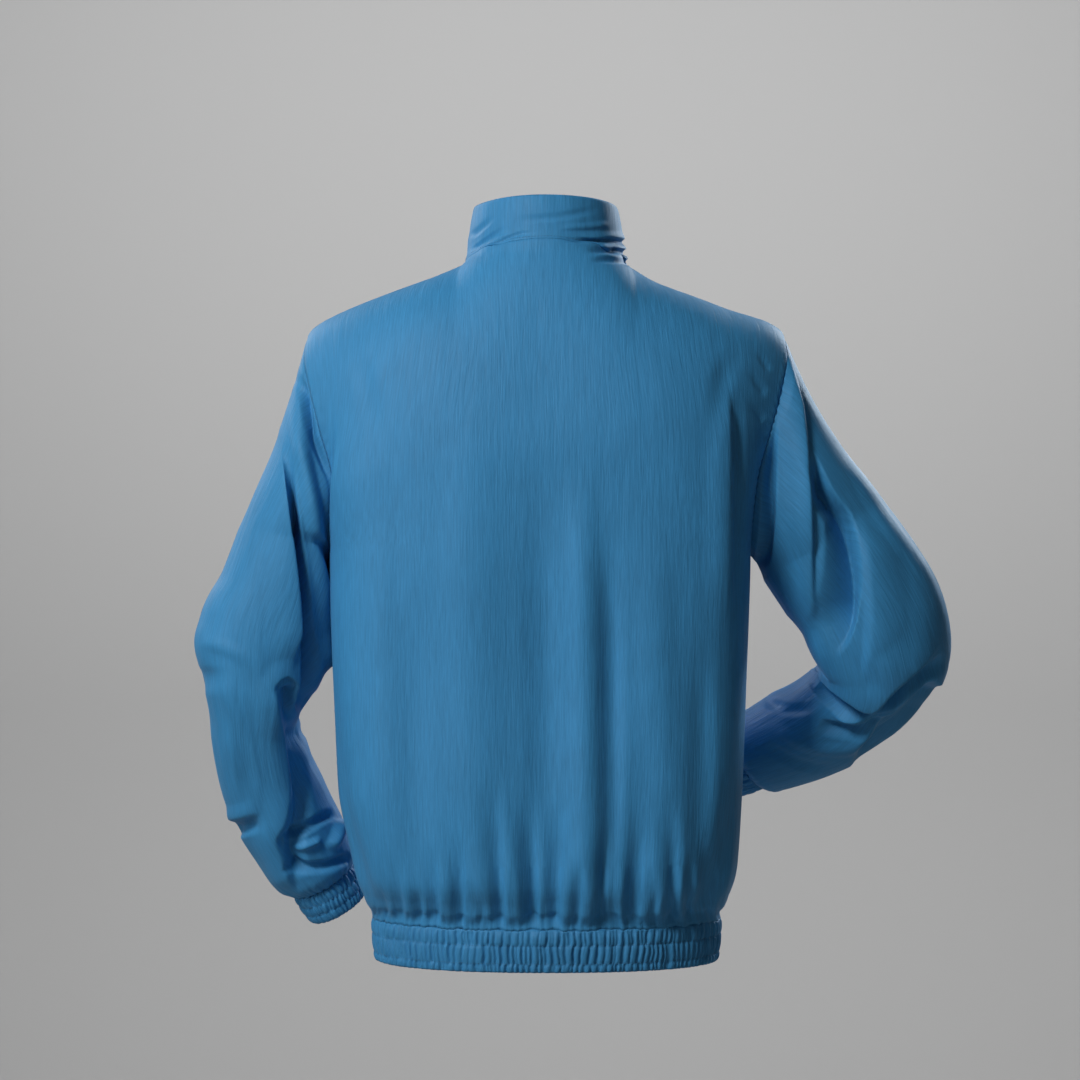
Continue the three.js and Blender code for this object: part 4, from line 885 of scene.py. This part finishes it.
def crinkle(u_mm, v_mm, seed, width=9.0, length=70.0, size=0.25, count=420):
    """faint lengthwise ripples of the crinkled cloth, as soft streaks"""
    rng = seeded(seed)
    total = np.zeros(u_mm.shape)
    cu = rng.uniform(u_mm.min(), u_mm.max(), count)
    cv = rng.uniform(v_mm.min(), v_mm.max(), count)
    for k in range(count):
        wd = width * rng.uniform(0.5, 1.2)
        ln = length * rng.uniform(0.5, 1.5)
        amp = size * rng.uniform(-1, 1)
        lean = rng.uniform(-0.05, 0.05)
        du = u_mm - cu[k] - lean * (v_mm - cv[k])
        hit = (np.abs(du) < wd) & (np.abs(v_mm - cv[k]) < ln)
        if not hit.any():
            continue
        total[hit] += amp * bell(du[hit] / wd) * bell((v_mm[hit] - cv[k]) / ln)
    return total


def neck_fill(p, turn_place, dist):
    """cloth of the neck seam rounded into a soft hollow instead of a corner"""
    flat = p.copy()
    flat[..., 2] = 0
    way = unit(unit(flat) + np.array([0, 0, 0.9]))
    much = 3.4 * np.clip(1 - dist / 17.0, 0, 1) ** 2 * turn_place
    return way * much[..., None]


FINISHED = {}
scale = 1.0


def even(n):
    return int(round(n * scale / 2)) * 2


def panel(name, face, sides, creases, cols, rows, node, seed):
    t = steps(even(rows), dense=((0.0, 0.09, 2.2), (0.94, 1.0, 1.8)))
    us = steps(even(cols) + 1, dense=((0.80, 1.0, 1.35),))
    parts, signed = [], []
    for side in sides:
        block = body_point(face, side, us[None, :], t[:, None])
        if side < 0 and len(sides) == 2:
            block = block[:, ::-1][:, :-1]
            signed.append(-us[::-1][:-1])
        else:
            signed.append(us if side > 0 else -us)
        parts.append(block)
    p = held(np.concatenate(parts, 1), 2)
    # the right shoulder hangs a little lower beside the neck
    p[..., 2] -= 6.5 * ease((-p[..., 0] - 66) / 50) * ease((236 + p[..., 0]) / 60) * ease((p[..., 2] + 160) / 90)
    s = np.concatenate(signed)
    order = 1 if s[-1] > s[0] else -1
    n = normals(p, flip=(-1 if face > 0 else 1) * order)
    across = arc(p, 1)
    middle = len(s) // 2 if len(sides) == 2 else 0
    across = across - across[:, middle][:, None]
    up = arc(p[::-1], 0)[::-1]                    # mm from the top edge
    down = arc(p, 0)                              # mm from the hem
    if len(sides) == 2:
        edge = np.minimum(across - across[:, :1], across[:, -1:] - across)
    else:
        edge = across[:, -1:] - across if across[0, -1] > 0 else across - across[:, -1:]
        edge = np.abs(edge)
    if face > 0:
        x, z = seen(p)
        d, slide = crease_field(x, z, creases + COLLAR_CREASES)
    else:
        d, slide = crease_field(p[..., 0], p[..., 2], creases)
        d = d * ease((np.abs(p[..., 0]) - 14) / 22)
    hold = ease(edge / 9.0) * mix(0.30, 1.0, ease(down / 12))
    d = d * hold
    d += crinkle(across, -up, seed, size=0.22) * ease(edge / 8)
    gather = hem_gathers(p[..., 0] + 900 * (face < 0) * 0, down, seed + 1)
    if face < 0:
        gather = gather * ease((np.abs(p[..., 0]) - 8) / 12)
    d += gather * ease(edge / 6) * mix(0.6, 1.0, ease(down / 5))
    d -= 6.0 * (1 - np.exp(-down / 5)) * (1 - ease((down - 6) / 54)) * (1 if face > 0 else ease((np.abs(p[..., 0]) - 12) / 24))
    d += 1.0 * bell((down - 16) / 16) * (1 if face > 0 else ease((np.abs(p[..., 0]) - 8) / 16))
    neck = np.clip((NECK_SHARE + 0.05 - np.abs(s)[None, :]) / 0.08, 0, 1) + 0 * up
    top_tuck = tuck_in(up, 0.9, 2.0) * (1 - neck) + tuck_in(up, 0.35, 1.4) * neck
    d += tuck_in(edge) + top_tuck + tuck_in(down, 0.35, 1.6)
    # the side seams pucker a little, most on the wearer's right
    low = ease((-p[..., 2] - 312) / 20) * ease((p[..., 2] + 640) / 120)
    wave = np.sin(2 * np.pi * (p[..., 2] + 0.5 * edge + 2.2 * np.sin(p[..., 2] * 0.09)) / 9.0)
    d += (1.5 * (p[..., 0] < 0) + 0.8 * (p[..., 0] > 0)) * wave * bell((edge - 4) / 8) * low
    # small puckers beside the armhole seams
    high = ease((p[..., 2] + 300) / 30) * ease((-p[..., 2] - 100) / 30)
    wave = np.sin(2 * np.pi * (p[..., 2] - 0.6 * edge + 3 * np.sin(p[..., 2] * 0.07 + 1)) / 8.0)
    d += 0.55 * wave * bell((edge - 4) / 7) * high
    if face < 0:
        zip_edge = np.maximum(np.abs(p[..., 0]) - ZIP_HALF, 0)
        d += -0.7 * np.exp(-(zip_edge / 1.6) ** 2)
    p = p + n * d[..., None]
    p[..., 0] += slide[..., 0]
    p[..., 2] += slide[..., 1]
    p = p + neck_fill(p, neck * (1 if face > 0 else 0.6 * ease((np.abs(p[..., 0]) - 6) / 20)), up)
    if face < 0:
        # the side and shoulder edges lie on the back panel's
        back_p, back_s = FINISHED["cloth_back"]
        col_ = -1 if sides[0] > 0 else 0
        line = back_p[:, col_][back_p[:, col_][:, 2] < -296]
        own = -1
        low = p[:, own][:, 2] < -290
        q = snap(p, (slice(None), own), edge, line)
        p = np.where((low[:, None] * np.ones(p.shape[1])[None])[..., None] > 0, q, p)
        half_s = back_s * sides[0]
        line = back_p[-1][half_s > NECK_SHARE - 0.03]
        p = snap(p, (-1,), up, line, reach=7.0)
    FINISHED[name] = (p, s)
    fine = int(np.searchsorted(down.mean(1), 70.0))
    flip_faces = (face > 0) if order > 0 else (face < 0)
    obj = grid_mesh(name, p, (across, -up), flip=flip_faces, material=cloth, fine_rows=(0, fine))
    return register(name, obj, BODY_NAME, node)


back = panel("cloth_back", 1, (-1, 1), BACK_CREASES, 150, 224, "back_panel", 11)
front_l = panel("cloth_front_left", -1, (1,), FRONT_CREASES, 150, 184, "front_left", 21)
front_r = panel("cloth_front_right", -1, (-1,), FRONT_CREASES, 150, 184, "front_right", 31)


# ---------------------------------------------------------------- sleeves and cuffs
def relax(p, path, reach, rounds):
    """evens the cloth out on the front of a sleeve near a path of (x, z), so that the crook has no crossing folds"""
    q = p.copy()
    front = ease((q[..., 1].mean(1, keepdims=True) + 22 - q[..., 1]) / 26)
    near = np.min([np.hypot(q[..., 0] - x, q[..., 2] - z) for x, z in path], axis=0)
    w = (ease((reach - near) / (0.5 * reach)) * front)[..., None]
    for _ in range(rounds):
        around = (np.roll(q, 1, 1) + np.roll(q, -1, 1)) / 2
        along = q.copy()
        along[1:-1] = (q[:-2] + q[2:]) / 2
        q = q + w * 0.8 * ((around + along) / 2 - q)
    return q


def sleeve(name, side, creases, rows, dense, node, seed):
    turns = steps(even(194) + 1, dense=((0.03, 0.50, 1.9),))[:-1]
    v = steps(even(rows), dense=((0.0, 0.03, 1.8),) + dense + ((0.95, 1.0, 1.6),))
    base = sleeve_point(side, turns[None, :], v[:, None])
    p = held(base, 2, loop=True)
    n = normals(p, loop=True, flip=-1 if side > 0 else 1)
    rear = ease((n[..., 1] + 0.30) / 0.45)
    x, z = seen(p)
    d, slide = crease_field(x, z, creases)
    down = arc(p, 0)
    left = down[-1:] - down
    hold = ease(down / 10.0) * ease(left / 6.0)
    d = d * rear * hold
    slide = slide * (rear * hold)[..., None]
    round_mm = turns[None, :] * 400 + 0 * down
    # softer creases of the same kind round the hidden side
    front = ease((0.25 - n[..., 1]) / 0.5)
    hx, hz = p[..., 0], p[..., 2]
    hid, _ = crease_field(hx, hz, SLEEVE_FRONT_CREASES[side])
    d += hid * front * hold * (1 - rear)
    d += crinkle(round_mm, down, seed, size=0.28) * hold
    pos = turns[None, :] * 225 + 0 * down
    d += hem_gathers(pos, left, seed + 1, spacing=6.0, long=(8, 34), depth=(0.8, 2.2)) * ease((pos) / 5) * ease((225 - pos) / 5)
    d += 1.4 * bell((left - 12) / 12)
    d += tuck_in(down, 0.5, 2.0) + tuck_in(left, 1.0, 1.6)
    # a fold never reaches the cloth on the other side of the sleeve
    ring = np.concatenate([turns, [1.0]])
    across_turn = (1.0 - turns) % 1.0
    k = np.clip(np.searchsorted(ring, across_turn, "right") - 1, 0, len(ring) - 2)
    w = ((across_turn - ring[k]) / (ring[k + 1] - ring[k]))[None, :, None]
    closed = np.concatenate([p, p[:, :1]], 1)
    room = np.maximum(0.47 * np.linalg.norm(p - (closed[:, k] * (1 - w) + closed[:, k + 1] * w), axis=-1) - 2.0, 2.0)
    d = np.where(d < 0, -room * np.tanh(-d / room), d)
    p = p + n * d[..., None]
    if side < 0:
        p = relax(p, [(-322, -352), (-305, -368), (-288, -388), (-268, -411)], 52, 260)
    p[..., 0] += slide[..., 0]
    p[..., 2] += slide[..., 1]
    # the head of the sleeve lies on the body's armhole
    col_ = -1 if side > 0 else 0
    rear_line = FINISHED["cloth_back"][0][:, col_]
    front_line = FINISHED["cloth_front_left" if side > 0 else "cloth_front_right"][0][:, -1]
    line = np.concatenate([rear_line[rear_line[:, 2] > -306], front_line[front_line[:, 2] > -306][::-1]])
    p = snap(p, (0,), down, line, reach=8.0, width=3.5)
    FINISHED[name] = (p, turns)
    obj = grid_mesh(name, p, (round_mm, -down, 400.0), loop=True, flip=(side > 0), material=cloth)
    return register(name, obj, BODY_NAME, node)


SLEEVE_FRONT_CREASES = {
    1: [
        dict(name="bend_a", path=[(225, -452), (250, -462), (285, -470)], half=(9, 7), depth=-6.0, fade=(0.15, 0.3)),
        dict(name="bend_b", path=[(226, -430), (256, -436), (292, -440)], half=(9, 8), depth=-3.5, fade=(0.15, 0.3)),
        dict(name="bend_c", path=[(232, -476), (258, -492), (288, -506)], half=(8, 8), depth=-4.0, fade=(0.15, 0.3)),
        dict(name="down_a", path=[(240, -140), (250, -220), (262, -320)], half=(12, 10), depth=-4.0, fade=(0.2, 0.3)),
        dict(name="down_b", path=[(262, -160), (284, -260), (300, -350)], half=(12, 12), depth=3.0, fade=(0.2, 0.3)),
        dict(name="fore_a", path=[(262, -520), (240, -570), (222, -610)], half=(8, 9), depth=-4.0, fade=(0.2, 0.3)),
    ],
    -1: [
        dict(name="bend_a", path=[(-262, -402), (-296, -410), (-340, -398)], half=(9, 8), depth=-4.0, fade=(0.15, 0.3)),
        dict(name="bend_b", path=[(-262, -388), (-300, -386), (-345, -368)], half=(9, 8), depth=-2.5, fade=(0.15, 0.3)),
        dict(name="bend_c", path=[(-256, -420), (-290, -438), (-330, -440)], half=(8, 8), depth=-4.5, fade=(0.15, 0.3)),
        dict(name="down_a", path=[(-240, -140), (-252, -220), (-266, -320)], half=(10, 12), depth=-4.0, fade=(0.2, 0.3)),
        dict(name="down_b", path=[(-266, -170), (-296, -260), (-320, -330)], half=(12, 12), depth=3.0, fade=(0.2, 0.3)),
        dict(name="fore_a", path=[(-290, -450), (-256, -480), (-230, -500)], half=(8, 9), depth=-3.5, fade=(0.2, 0.3)),
    ],
}
sleeve_l = sleeve("cloth_sleeve_left", 1, SLEEVE_LEFT_CREASES, 240, ((0.50, 0.97, 1.5),), "sleeve_left", 41)
sleeve_r = sleeve("cloth_sleeve_right", -1, SLEEVE_RIGHT_CREASES, 240, ((0.40, 0.72, 1.9),), "sleeve_right", 51)


def shirring(pos, seed, period, spacing=6.5, depth=(1.4, 2.6)):
    """upright crimps of gathered cloth over elastic; pos in mm round the band, which closes after period"""
    rng = seeded(seed)
    total = np.zeros(pos.shape)
    x = 0.0
    while x < period:
        wide = spacing * rng.uniform(0.20, 0.55)
        deep = rng.uniform(*depth)
        d = (pos - x + period / 2) % period - period / 2
        total -= deep * np.clip(1 - np.abs(d) / wide, 0, 1) ** 1.1
        x += spacing * rng.uniform(0.45, 1.5)
    return total


def band_relief(pos, v, long, lines, seed, period, spacing=6.5, depth=(1.4, 2.6)):
    """crimps that change from channel to channel, drawn in along the rows of stitching"""
    total = np.zeros(pos.shape)
    edges = [0.0] + list(lines) + [1.0]
    for k in range(len(edges) - 1):
        mid = (edges[k] + edges[k + 1]) / 2
        half = (edges[k + 1] - edges[k]) / 2
        w = np.clip(1 - (np.abs(v - mid) / (half * 1.12)) ** 6, 0, 1)
        drift = 0.7 * np.sin(v * 5 + pos * 0.043 + 2 * k) + 0.4 * np.sin(v * 11 + pos * 0.11)
        total += shirring(pos + drift, seed + 7 * k, period, spacing, depth) * w
        total += 0.7 * np.clip(1 - ((v - mid) / half) ** 2, 0, 1)
    for line in lines:
        total -= 0.6 * np.exp(-((v - line) * long / 0.9) ** 2)
    return total


def cuff(name, side, node, seed):
    sleeve_p, sleeve_turns = FINISHED["cloth_sleeve_left" if side > 0 else "cloth_sleeve_right"]
    turns = np.linspace(0, 1, even(360), endpoint=False)
    v = np.linspace(0, 1, 26)
    tt, vv = np.broadcast_arrays(turns[None, :], v[:, None])
    p = cuff_point(side, tt, vv)
    n = normals(p, loop=True, flip=-1 if side > 0 else 1)
    pos = tt * 222.0
    d = band_relief(pos, vv, CUFF_LONG, [0.34, 0.67], seed, 222.0, spacing=5.4)
    d += -1.0 * np.exp(-((1 - vv) * CUFF_LONG / 1.4) ** 2)
    p = p + n * d[..., None]
    line = np.concatenate([sleeve_p[-1], sleeve_p[-1][:1]])
    p = snap(p, (0,), vv * CUFF_LONG, line, width=2.6)
    m = normals(p, loop=True, flip=-1 if side > 0 else 1)
    FINISHED[name + "_lines"] = [(np.concatenate([p[i], p[i][:1]]), np.concatenate([m[i], m[i][:1]])) for i in (8, 17)]
    obj = grid_mesh(name, p, (pos * 1.7, -vv * CUFF_LONG, 222.0 * 1.7), loop=True, flip=(side > 0), thick=1.6, material=rib_cloth)
    return register(name, obj, BODY_NAME, node)


cuff_l = cuff("cloth_cuff_left", 1, "cuff_left", 61)
cuff_r = cuff("cloth_cuff_right", -1, "cuff_right", 71)


def hem_band():
    us = np.linspace(0, 1, even(250))
    cols = [(-1, -1, us), (1, -1, us[::-1][1:]), (1, 1, us[1:]), (-1, 1, us[::-1][1:])]
    v = np.linspace(0, 1, 24)[::-1]
    p = np.concatenate([band_point(f, s_, *np.broadcast_arrays(seq[None, :], v[:, None])) for f, s_, seq in cols], 1)
    n = normals(p, flip=-1)
    across = arc(p, 1)
    vv = np.broadcast_to(v[:, None], across.shape)
    place = np.broadcast_to(across[12][None, :], across.shape)
    d = band_relief(place, vv, 40.0, [0.34, 0.80], 81, 5000.0, spacing=5.6, depth=(1.7, 3.6))
    d += -0.3 * np.exp(-((1 - vv) * 40.0 / 1.5) ** 2)
    near_zip = np.where(p[..., 1] < 0, ease((np.abs(p[..., 0]) - 10) / 14), 1.0)
    p = p + n * (d * near_zip)[..., None]
    FINISHED["band_lines"] = [(p[i], normals(p, flip=-1)[i]) for i in (5, 15)]
    back_edge = FINISHED["cloth_back"][0][0]
    left_edge = FINISHED["cloth_front_left"][0][0]
    right_edge = FINISHED["cloth_front_right"][0][0]
    line = np.concatenate([right_edge, back_edge, left_edge[::-1]])
    p = snap(p, (-1,), vv * 40.0, line, width=2.6)
    obj = grid_mesh("cloth_hem_band", p, (across * 1.35, -vv * 40.0), flip=True, thick=1.6, material=rib_cloth)
    return register("cloth_hem_band", obj, BODY_NAME, "hem_band")


band = hem_band()


def collar():
    ang = steps(even(300) + 1, dense=((0.40, 0.60, 1.25),)) * 360 - 180
    v = steps(38, dense=((0.0, 0.5, 1.4),))
    aa, vv = np.broadcast_arrays(ang[None, :], v[:, None])
    p = collar_point(aa, vv)
    n = normals(p, flip=-1)
    across = arc(p, 1)
    across = across - across[:, len(ang) // 2][:, None]
    rise = arc(p, 0)
    x, z = seen(p)
    rear = ease((n[..., 1] + 0.25) / 0.4)
    d, slide = crease_field(x, z, COLLAR_CREASES)
    top = rise[-1:] - rise
    keep = rear * ease(top / 5)
    d = d * keep
    slide = slide * keep[..., None]
    d += crinkle(across, rise * 1.0, 91, width=12, length=16, size=0.35, count=150) * ease(top / 4)
    d += 0.5 * np.sin(across * 0.055 + 1) * np.sin(across * 0.021) * (rise / 46)
    d += tuck_in(rise, 0.35, 1.4) - 0.5 * np.exp(-(top / 1.2) ** 2)
    p = p + n * d[..., None]
    p[..., 0] += slide[..., 0]
    p[..., 2] += slide[..., 1]
    away = np.where(p[..., 1] > 0, 1.0, 0.6 * ease((np.abs(p[..., 0]) - 6) / 20))
    p = p + neck_fill(p, away, rise)
    back_p, back_s = FINISHED["cloth_back"]
    neck_line = back_p[-1][np.abs(back_s) < NECK_SHARE + 0.03]
    left_p, left_s = FINISHED["cloth_front_left"]
    right_p, right_s = FINISHED["cloth_front_right"]
    left_line = left_p[-1][np.abs(left_s) < NECK_SHARE + 0.03]
    right_line = right_p[-1][np.abs(right_s) < NECK_SHARE + 0.03]
    line = np.concatenate([right_line, neck_line, left_line[::-1]])
    p = snap(p, (0,), rise, line, reach=7.0, width=4.0)
    m = normals(p, flip=-1)
    low = int(np.searchsorted(rise.mean(1), 2.6))
    FINISHED["collar_lines"] = [(p[low], m[low])]
    obj = grid_mesh("cloth_collar", p, (across, rise), flip=True, thick=1.4, material=cloth)
    return register("cloth_collar", obj, BODY_NAME, "collar")


collar_obj = collar()


# ---------------------------------------------------------------- zip teeth and stitches
def small_solids(name, verts, faces, material, smooth=False):
    """many small closed solids in one mesh; verts in mm"""
    mesh = bpy.data.meshes.new(name)
    mesh.from_pydata([tuple(v) for v in np.asarray(verts) * MM], [], faces)
    work = bmesh.new()
    work.from_mesh(mesh)
    bmesh.ops.recalc_face_normals(work, faces=work.faces)
    work.to_mesh(mesh)
    work.free()
    for poly in mesh.polygons:
        poly.use_smooth = smooth
    mesh.materials.append(material)
    mesh.update()
    obj = bpy.data.objects.new(name, mesh)
    bpy.context.scene.collection.objects.link(obj)
    return obj


def resample(line, gap):
    """places and directions at even steps along a line of points"""
    run = np.concatenate([[0], np.cumsum(np.linalg.norm(np.diff(line, axis=0), axis=1))])
    at = np.arange(gap / 2, run[-1] - gap / 2, gap)
    here = np.stack([np.interp(at, run, line[:, k]) for k in range(3)], -1)
    ahead = np.stack([np.interp(at + 0.6, run, line[:, k]) for k in range(3)], -1)
    return at / run[-1], run / run[-1], here, unit(ahead - here), run[-1]


ZIP_LINE = dict(first=0.6, slider_at=0.985, beyond=1.6, pitch=1.45, long=1.15, root=3.3, head=-0.8, near=0.3, far=2.5)


def zip_teeth():
    v, t, c = np.linspace(1, 0, 12), np.linspace(0, 1, 160), np.linspace(0, 1, 20)
    zero = lambda a: np.zeros_like(a)
    line = np.concatenate([band_point(-1, 1, zero(v), v), body_point(-1, 1, zero(t), t)[1:], collar_point(zero(c) + 179.99, c)[1:]])
    line[:, 0] = 0
    share, _, here, way, total = resample(line, ZIP_LINE["pitch"])
    verts, faces = [], []
    stop = ZIP_LINE["slider_at"] + ZIP_LINE["beyond"] / total
    for k in range(len(here)):
        if share[k] * total < ZIP_LINE["first"] + 0.6 or share[k] > stop:
            continue
        side = 1 if k % 2 else -1
        inward = np.array([0.0, way[k][2], -way[k][1]])
        base = len(verts)
        for x in (ZIP_LINE["head"] * side, ZIP_LINE["root"] * side):
            for along in (-0.5, 0.5):
                for depth in (ZIP_LINE["near"], ZIP_LINE["far"]):
                    verts.append(here[k] + np.array([x, 0, 0]) + way[k] * along * ZIP_LINE["long"] + inward * depth)
        for f in ((0, 1, 3, 2), (4, 6, 7, 5), (0, 4, 5, 1), (2, 3, 7, 6), (0, 2, 6, 4), (1, 5, 7, 3)):
            faces.append(tuple(base + i for i in f))
    # the corded edges of the two tapes meet behind the teeth
    inside = share * total < stop * total
    rows = here[inside]
    go = way[inside]
    base = len(verts)
    for q, w in zip(rows, go):
        inward = np.array([0.0, w[2], -w[1]])
        for x, depth in ((-4.3, 2.3), (4.3, 2.3), (4.3, 4.2), (-4.3, 4.2)):
            verts.append(q + np.array([x, 0, 0]) + inward * depth)
    count = len(rows)
    for i in range(count - 1):
        a, b = base + 4 * i, base + 4 * i + 4
        for j in range(4):
            faces.append((a + j, a + (j + 1) % 4, b + (j + 1) % 4, b + j))
    faces.append((base, base + 1, base + 2, base + 3))
    last = base + 4 * (count - 1)
    faces.append((last, last + 1, last + 2, last + 3))
    return register("zip_teeth", small_solids("zip_teeth", verts, faces, teeth_plastic), BODY_NAME, "zip_chain")


zip_teeth()


def stitches(name, lines, gap=3.1, long=2.2, wide=0.5, proud=0.32):
    """rows of short stitches; lines: (points, normals)"""
    verts, faces = [], []
    for line, out in lines:
        share, run, here, way, _ = resample(line, gap)
        up = unit(np.stack([np.interp(share, run, out[:, k]) for k in range(3)], -1))
        cross = unit(np.cross(way, up))
        for k in range(len(here)):
            base = len(verts)
            verts.append(here[k] - way[k] * long / 2 - up[k] * 0.15)
            for along in (-0.32, 0.32):
                for c, h in ((-0.5, 0.0), (0.0, proud), (0.5, 0.0)):
                    verts.append(here[k] + way[k] * along * long + cross[k] * wide * c + up[k] * (h + 0.05))
            verts.append(here[k] + way[k] * long / 2 - up[k] * 0.15)
            for f in ((1, 2, 5, 4), (2, 3, 6, 5), (3, 1, 4, 6), (0, 2, 1), (0, 3, 2), (0, 1, 3), (7, 4, 5), (7, 5, 6), (7, 6, 4)):
                faces.append(tuple(base + i for i in f))
    return register(name, small_solids(name, verts, faces, thread, smooth=True), BODY_NAME, None)


def edge_line(name, reach):
    """a line down the front panel, reach mm from the middle plane"""
    p, _ = FINISHED[name]
    j = int(np.abs(np.abs(p[..., 0]).mean(0) - reach).argmin())
    flip = normals(p)[:, j]
    flip = flip * np.where(flip[:, 1:2] > 0, -1.0, 1.0)
    return p[4:-4, j], flip[4:-4]


stitches("stitch_hem_band", FINISHED["band_lines"])
stitches("stitch_cuff_left", FINISHED["cloth_cuff_left_lines"], gap=3.0)
stitches("stitch_cuff_right", FINISHED["cloth_cuff_right_lines"], gap=3.0)
stitches("stitch_collar", FINISHED["collar_lines"])
stitches("stitch_front", [edge_line("cloth_front_left", 9.0), edge_line("cloth_front_right", 9.0)])

# ---------------------------------------------------------------- the frame's own pieces that stay
for node, mat in (("zip_tape_left", tape_cloth), ("zip_tape_right", tape_cloth), ("zip_slider", zip_paint), ("zip_pull", zip_paint)):
    for obj in bpy.data.objects:
        if obj.type == "MESH" and obj.name == node:
            if obj.material_slots:
                for slot in obj.material_slots:
                    slot.material = mat
            else:
                obj.data.materials.append(mat)

# ---------------------------------------------------------------- floor, wall and light
FLOOR_Z = -1.9


def stage_plane():
    """pale round floor that curves up into a plain wall on every side"""
    mesh = bpy.data.meshes.new("stage")
    flat, curve, high, around = 3.4, 1.2, 4.2, 72
    profile = [(r, FLOOR_Z) for r in (1.2, 2.4, flat)]
    for k in range(1, 13):
        a = math.radians(90 * k / 12)
        profile.append((flat + curve * math.sin(a), FLOOR_Z + curve * (1 - math.cos(a))))
    profile.append((flat + curve, high))
    verts, faces = [(0.0, 0.0, FLOOR_Z)], []
    for r, z in profile:
        for j in range(around):
            a = 2 * math.pi * j / around
            verts.append((r * math.cos(a), r * math.sin(a), z))
    for j in range(around):
        faces.append((0, 1 + j, 1 + (j + 1) % around))
    for k in range(len(profile) - 1):
        for j in range(around):
            lo, hi, nx = 1 + k * around, 1 + (k + 1) * around, (j + 1) % around
            faces.append((lo + j, hi + j, hi + nx, lo + nx))
    mesh.from_pydata(verts, [], faces)
    for poly in mesh.polygons:
        poly.use_smooth = True
    mesh.update()
    obj = bpy.data.objects.new("stage", mesh)
    bpy.context.scene.collection.objects.link(obj)
    m, t, bsdf = new_material("stage_grey")
    bsdf.inputs["Base Color"].default_value = (0.50, 0.50, 0.50, 1)
    bsdf.inputs["Roughness"].default_value = 0.9
    bsdf.inputs["Specular IOR Level"].default_value = 0.1
    mesh.materials.append(m)
    return obj


stage = stage_plane()

world = bpy.data.worlds.new("studio")
bpy.context.scene.world = world
world.use_nodes = True
bg = world.node_tree.nodes["Background"]
bg.inputs[0].default_value = (0.80, 0.88, 1.0, 1)
bg.inputs[1].default_value = 0.015


def area_light(name, loc, target, size, power, colour=(1, 1, 1), spread=180):
    data = bpy.data.lights.new(name, "AREA")
    data.shape = "RECTANGLE"
    data.size, data.size_y = size
    data.energy = power
    data.color = colour
    data.spread = math.radians(spread)
    obj = bpy.data.objects.new(name, data)
    bpy.context.scene.collection.objects.link(obj)
    obj.location = loc
    direction = Vector(target) - Vector(loc)
    obj.rotation_euler = direction.to_track_quat("-Z", "Y").to_euler()
    return obj


# key from the picture's left and above, side light low on the left, cool rim from the right and behind; the front has its
# own soft light, and the wall is lit on both sides
area_light("key", (1.75, 2.35, 1.75), (0, 0, -0.30), (0.8, 1.0), 30, (1.0, 0.99, 0.97), 110)
area_light("side", (2.7, 1.6, 0.2), (0.1, 0, -0.40), (0.6, 1.0), 4.5, (0.96, 0.98, 1.0), 90)
area_light("rim", (-1.5, -2.0, 0.8), (-0.2, 0, -0.30), (0.25, 0.9), 7, (0.80, 0.91, 1.0), 70)
area_light("front", (2.1, -2.3, 1.2), (0, 0, -0.35), (1.0, 1.0), 9, (1.0, 1.0, 1.0), 90)
area_light("wall_behind", (0.0, -1.3, 2.2), (0, -4.6, -0.2), (2.5, 0.6), 60, (1, 1, 1), 120)
area_light("wall_before", (0.0, 1.3, 2.2), (0, 4.6, -0.2), (2.5, 0.6), 10, (1, 1, 1), 120)

bpy.context.scene.view_settings.view_transform = "Standard"
bpy.context.scene.view_settings.look = "None"
